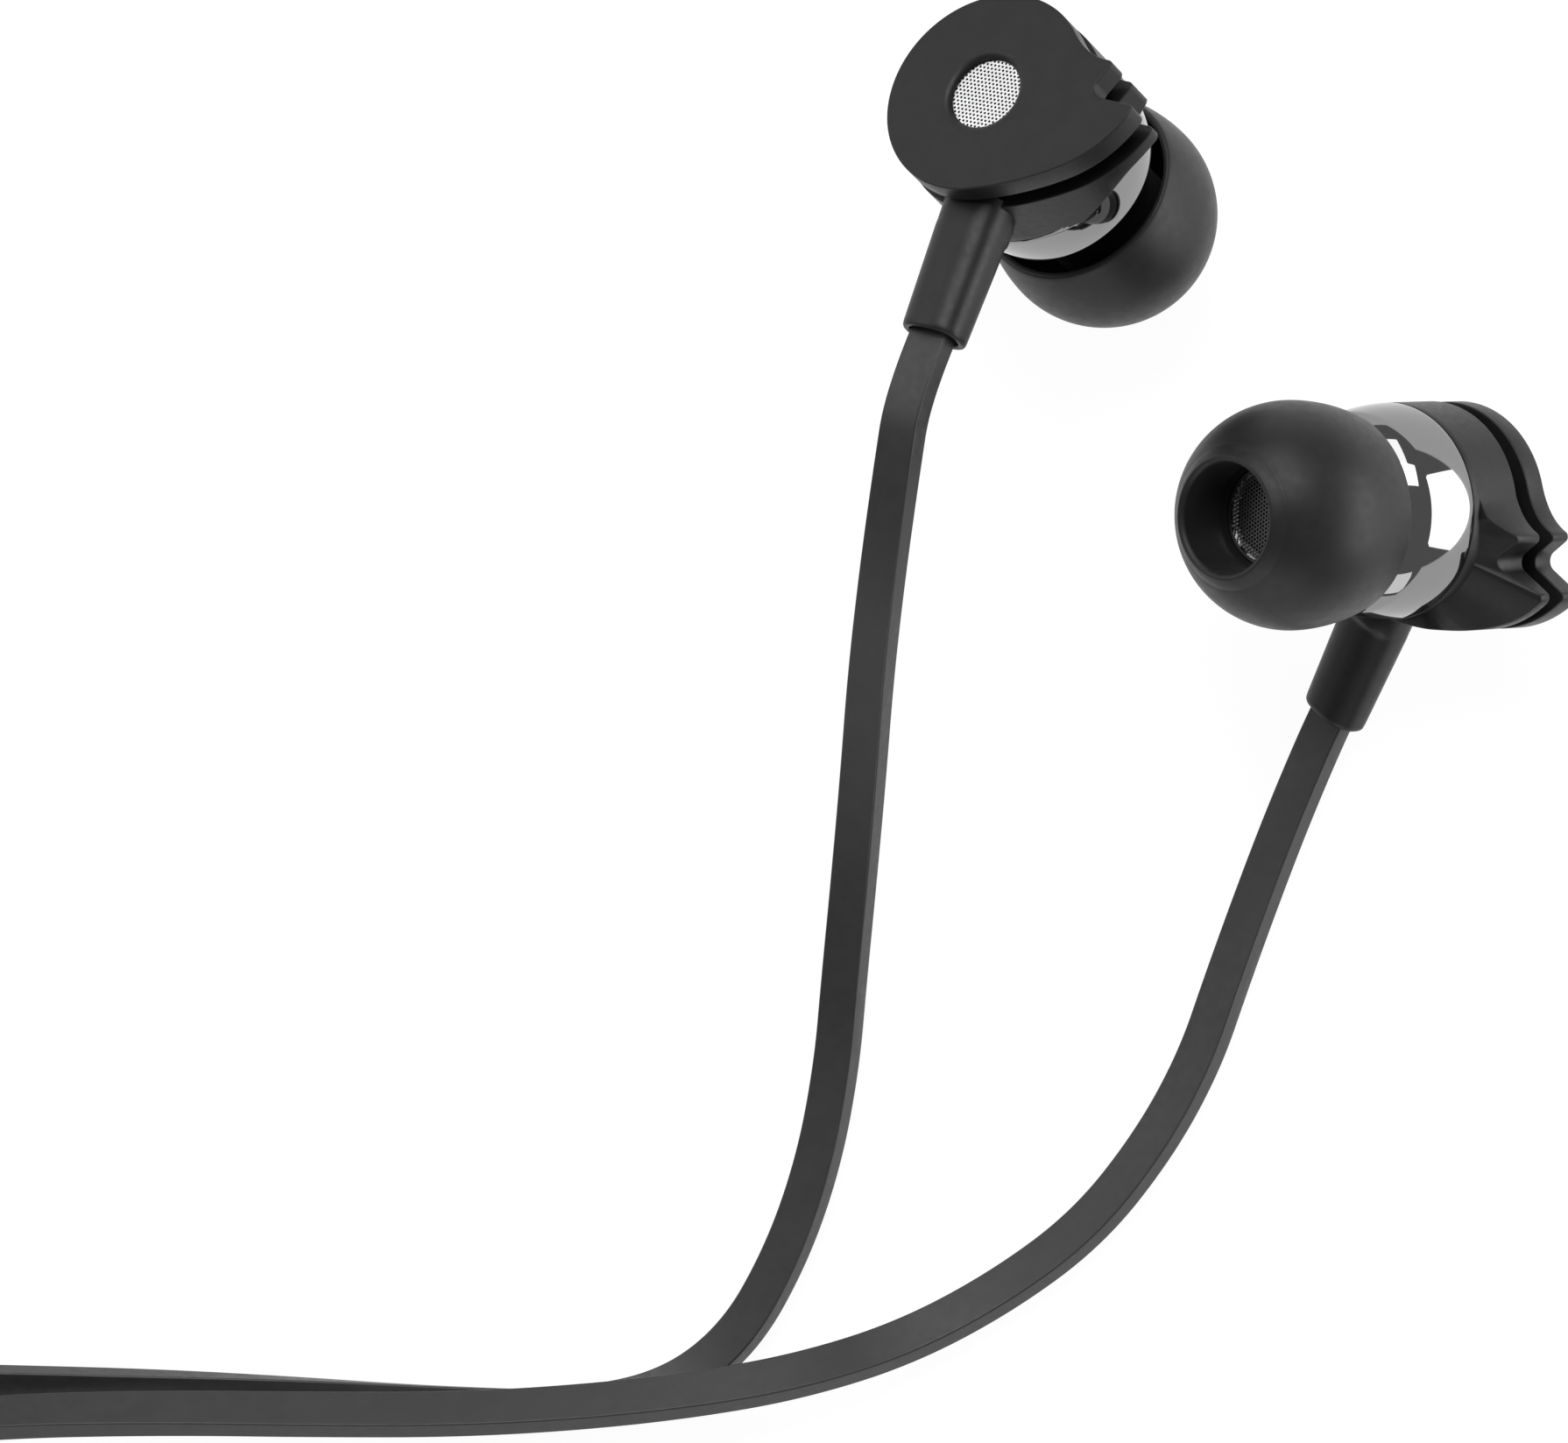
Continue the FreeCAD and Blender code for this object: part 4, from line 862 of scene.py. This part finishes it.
def main_cord():
    straight = MAIN[0]
    start = Vector((-SPLITTER_HALF, SPLITTER_MIDDLE, COIL_LOW))
    places = [start, start - Vector((straight, 0, 0)), Vector((-13.2, -23.6, COIL_LOW)),
              Vector((-16.6, -20.2, COIL_LOW)), Vector((-17.6, -15.2, COIL_LOW)),
              Vector((-18.2, -9.8, COIL_LOW)), Vector((-18.5, -4.6, COIL_LOW))]
    places = [COIL_LOCAL @ place for place in places]
    steps = TURN_POINTS // 2
    swell = 1 / math.cos(math.pi / TURN_POINTS)
    total = (COIL_HALF_TURNS * 2 + 2) * steps
    for step in range(total + 1):
        radius, height = coil_level(step / steps)
        places.append(coil_place(radius * swell, step / steps, height))
    radius, height = coil_level(total / steps)
    places.append(COIL_LOCAL @ Vector((-radius, straight, height)))
    places.append(COIL_LOCAL @ Vector((-radius, straight * 2, height)))
    places += [COIL_LOCAL @ Vector(place) for place in TAIL_ROUTE]
    places += [(PLUG_START - Vector((0, straight, 0))) * MM, PLUG_START * MM]
    line = route_curve("main_line", places)
    lean = [math.radians(90)] * len(line)
    piece = ribbon("main_flat_cord", line, ribbon_section(*MAIN), lean,
                   ["main_cord_coil", "main_cord_tail"])


def splitter():
    """Moulded Y-splitter: wide where the branches enter, slim where the main cord leaves.

    Each station has its place along the splitter, its width and its height.
    """
    rings = []
    rounding = 0.5
    stations = [(6.0, 5.6, 3.0), (5.9, 6.0, 3.4), (5.6, 6.3, 3.7), (1.5, 6.3, 3.7), (0.6, 6.1, 3.7),
                (-2.0, 4.7, 3.6), (-4.6, 3.3, 3.5), (-5.8, 2.7, 3.4), (-6.0, 2.4, 3.1)]
    for x, width, height in stations:
        ring = rounded_box(width, height, rounding)
        rings.append([(x, SPLITTER_MIDDLE + point.x, SPLITTER_Z + point.y) for point in ring])
    points, faces = skin(rings, capped=True)
    return finish_mesh("moulded_splitter", ROOT, "black_plastic", points, faces, COIL_LOCAL,
                       ["y_splitter"])


def tie_bands():
    """Two straps round the coil, as wide and thick as their solids."""
    low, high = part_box("cord_ties")
    middle_y = COIL.y * MM
    half = 2.0 * MM
    thick = 0.5 * MM
    edge = 0.15 * MM
    outer_round = 0.8 * MM
    inner_round = 0.3 * MM
    slots = []
    mesh_points = []
    mesh_faces = []
    vertices = [vertex.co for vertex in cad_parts["cord_ties"].data.vertices]
    for way in (1, -1):
        ys = [co.y for co in vertices if (co.y - middle_y) * way > 0]
        slots.append((min(ys), max(ys)))
    for near, far in slots:
        centre = Vector(((low.x + high.x) / 2, (near + far) / 2, (low.z + high.z) / 2))
        width = far - near
        height = high.z - low.z
        rings = []
        for x, out in ((-half, edge), (-half + edge, 0.0), (half - edge, 0.0), (half, edge)):
            ring = rounded_box(width - out * 2, height - out * 2, outer_round)
            rings.append([centre + Vector((x, point.x, point.y)) for point in ring])
        for x in (half, -half):
            ring = rounded_box(width - thick * 2, height - thick * 2, inner_round)
            rings.append([centre + Vector((x, point.x, point.y)) for point in ring])
        points, faces = skin(rings)
        offset = len(mesh_points)
        mesh_points += points
        mesh_faces += [tuple(index + offset for index in face) for face in faces]
    return finish_mesh("tie_bands", ROOT, "tie_strap", mesh_points, mesh_faces,
                       Matrix.Identity(4), ["cord_ties"])


def plug_pieces():
    """The plug, turned along its own axis and laid along +Y."""
    matrix = (Matrix.Translation(PLUG_START * MM) @ Matrix.Rotation(math.radians(-90), 4, "X")
              @ Matrix.Scale(MM, 4))
    grip = 5.0
    shaft = 18.5
    contact = 1.75
    band = 1.73
    liner = 1.1
    core = 0.8
    sleeve_end = shaft + 6.6
    ring_start = shaft + 7.2
    ring_end = shaft + 9.2
    tip_start = shaft + 9.8
    ribs = 4
    rib_pitch = 1.1
    rib_growth = 0.12
    groove = 0.28
    relief = [(0, 0, 0)]
    for number in range(ribs):
        low = 0.35 + number * rib_pitch
        radius = 1.8 + number * rib_growth
        relief += [(radius, low - 0.3, 0.08), (radius, low + 0.25, 0.08),
                   (radius - groove, low + 0.32, 0.06), (radius - groove, low + 0.72, 0.06)]
    relief += [(2.28, grip - 0.25, 0.08), (2.28, grip, 0), (0, grip, 0)]
    shapes = [
        ("ribbed_relief", "cord_jacket", "plug_strain_relief", relief),
        ("grip", "black_plastic", "plug_grip", [
            (0, grip, 0), (2.75, grip, 0.3), (3.2, grip + 1.2, 0.5), (3.2, shaft - 1.9, 0.5),
            (2.8, shaft - 0.9, 0.25), (0, shaft - 0.9, 0)]),
        ("collar", "collar_plate", "plug_collar", [
            (0, shaft - 0.9, 0), (2.7, shaft - 0.9, 0.1), (2.7, shaft, 0.2), (0, shaft, 0)]),
        ("sleeve_contact", "contact_plate", "plug_sleeve", [
            (liner, shaft, 0), (contact, shaft, 0), (contact, sleeve_end, 0.06),
            (liner, sleeve_end, 0)]),
        ("ring_contact", "contact_plate", "plug_ring", [
            (liner, ring_start, 0), (contact, ring_start, 0.06), (contact, ring_end, 0.06),
            (liner, ring_end, 0)]),
        ("insulating_bands", "insulator", "plug_insulators", [
            (core, shaft, 0), (liner, shaft, 0), (liner, sleeve_end, 0), (band, sleeve_end, 0),
            (band, ring_start, 0), (liner, ring_start, 0), (liner, ring_end, 0),
            (band, ring_end, 0), (band, tip_start, 0), (core, tip_start, 0)]),
        ("tip_contact", "contact_plate", "plug_tip", [
            (0, shaft, 0), (core, shaft, 0), (core, tip_start, 0), (contact, tip_start, 0.06),
            (contact, shaft + 10.6, 0.1), (1.25, shaft + 11.7, 0.3), (1.6, shaft + 12.9, 0.35),
            (0.5, shaft + 14, 0.3), (0, shaft + 14, 0)]),
    ]
    made = []
    for name, material, node, corners in shapes:
        points, faces = turned(profile_through(corners, 5), 96)
        made.append(finish_mesh("plug_" + name, ROOT, material, points, faces, matrix, [node]))
    return made


def make_cords():
    """Keys are metres along a branch and the lean of its section there, in degrees."""
    joint = splitter()
    plug = plug_pieces()
    ties = tie_bands()
    left_keys = [(0, -35), (0.045, -28), (0.062, -26), (0.08, -2), (0.1, 20), (0.125, 26)]
    right_keys = [(0, -33), (0.04, -34), (0.075, -40), (0.11, -48), (0.14, -46)]
    branch_cord("left", LEFT_ROUTE, LOOP_RADIUS - LOOP_SPACING, left_keys)
    branch_cord("right", RIGHT_ROUTE, LOOP_RADIUS, right_keys)
    main_cord()


def dress_inner_nodes():
    """The pieces inside the earbuds keep their own shapes and get their finishes."""
    finishes = {
        "back_damper": "felt", "nozzle_damper": "felt", "lead_wires": "copper",
        "terminal_board": "board", "driver_yoke": "driver_steel", "driver_magnet": "magnet",
        "pole_plate": "driver_steel", "driver_frame": "driver_frame", "voice_coil": "copper",
        "diaphragm": "film", "driver_gasket": "gasket"}
    for side in SIDES:
        for name, finish in finishes.items():
            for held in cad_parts[side + "_" + name].material_slots:
                held.material = SURFACES[finish]


# Studio


def make_camera():
    data = bpy.data.cameras.new("camera")
    data.lens = CAMERA_LENS
    data.sensor_width = 36
    data.clip_start = 0.01
    camera = bpy.data.objects.new("camera", data)
    camera.location = CAMERA_PLACE
    bpy.context.scene.collection.objects.link(camera)
    bpy.context.scene.camera = camera


def add_white(tree, plain, output, strength):
    """Adds a plain white glow for camera, mirror and glass rays, so that shadows still show."""
    path = tree.nodes.new("ShaderNodeLightPath")
    kinds = ["Is Camera Ray", "Is Glossy Ray", "Is Transmission Ray"]
    seen = path.outputs[kinds[0]]
    for kind in kinds[1:]:
        either = tree.nodes.new("ShaderNodeMath")
        either.operation = "MAXIMUM"
        tree.links.new(seen, either.inputs[0])
        tree.links.new(path.outputs[kind], either.inputs[1])
        seen = either.outputs[0]
    white = tree.nodes.new("ShaderNodeEmission")
    white.inputs["Strength"].default_value = strength
    both = tree.nodes.new("ShaderNodeAddShader")
    tree.links.new(plain, both.inputs[0])
    tree.links.new(white.outputs[0], both.inputs[1])
    mix = tree.nodes.new("ShaderNodeMixShader")
    tree.links.new(seen, mix.inputs["Fac"])
    tree.links.new(plain, mix.inputs[1])
    tree.links.new(both.outputs[0], mix.inputs[2])
    tree.links.new(mix.outputs[0], output.inputs["Surface"])


def make_floor():
    material = bpy.data.materials.new("table")
    material.use_nodes = True
    tree = material.node_tree
    shader = tree.nodes["Principled BSDF"]
    shader.inputs["Base Color"].default_value = (TABLE_SHADE, TABLE_SHADE, TABLE_SHADE, 1)
    shader.inputs["Roughness"].default_value = 0.9
    shader.inputs["Specular IOR Level"].default_value = 0.1
    output = tree.nodes["Material Output"]
    add_white(tree, shader.outputs[0], output, TABLE_GLOW)
    mesh = bpy.data.meshes.new("table")
    reach = 3.0
    corners = [(-reach, -reach, 0), (reach, -reach, 0), (reach, reach, 0), (-reach, reach, 0)]
    mesh.from_pydata(corners, [], [(0, 1, 2, 3)])
    mesh.materials.append(material)
    table = bpy.data.objects.new("table", mesh)
    bpy.context.scene.collection.objects.link(table)


def area_light(name, place, target, width, height, power):
    """A softbox aimed at the target; places and sizes in metres, power in watts."""
    data = bpy.data.lights.new(name, "AREA")
    data.shape = "RECTANGLE"
    data.size = width
    data.size_y = height
    data.energy = power
    lamp = bpy.data.objects.new(name, data)
    lamp.location = place
    lamp.rotation_euler = (Vector(target) - Vector(place)).to_track_quat("-Z", "Y").to_euler()
    bpy.context.scene.collection.objects.link(lamp)


def make_world():
    world = bpy.data.worlds.new("studio")
    world.use_nodes = True
    tree = world.node_tree
    plain = tree.nodes["Background"]
    plain.inputs["Color"].default_value = (1, 1, 1, 1)
    plain.inputs["Strength"].default_value = AMBIENT
    bpy.context.scene.world = world


def make_studio():
    make_camera()
    make_floor()
    make_world()
    middle = (-0.01, -0.01, 0.01)
    area_light("side_box", (0.6, 0.0, 0.17), middle, 0.75, 0.34, 3.2)
    area_light("top_box", (-0.05, 0.4, 0.7), middle, 0.5, 0.3, 2.4)
    area_light("north_box", (-0.14, 0.45, 0.36), middle, 0.3, 0.3, 0.95)
    area_light("left_fill", (-0.5, 0.25, 0.2), middle, 0.4, 0.2, 0.6)
    area_light("south_fill", (-0.12, -0.53, 0.17), middle, 0.5, 0.25, 0.7)


make_earbuds()
make_cords()
dress_inner_nodes()
make_studio()

bpy.context.scene.view_settings.view_transform = "Standard"
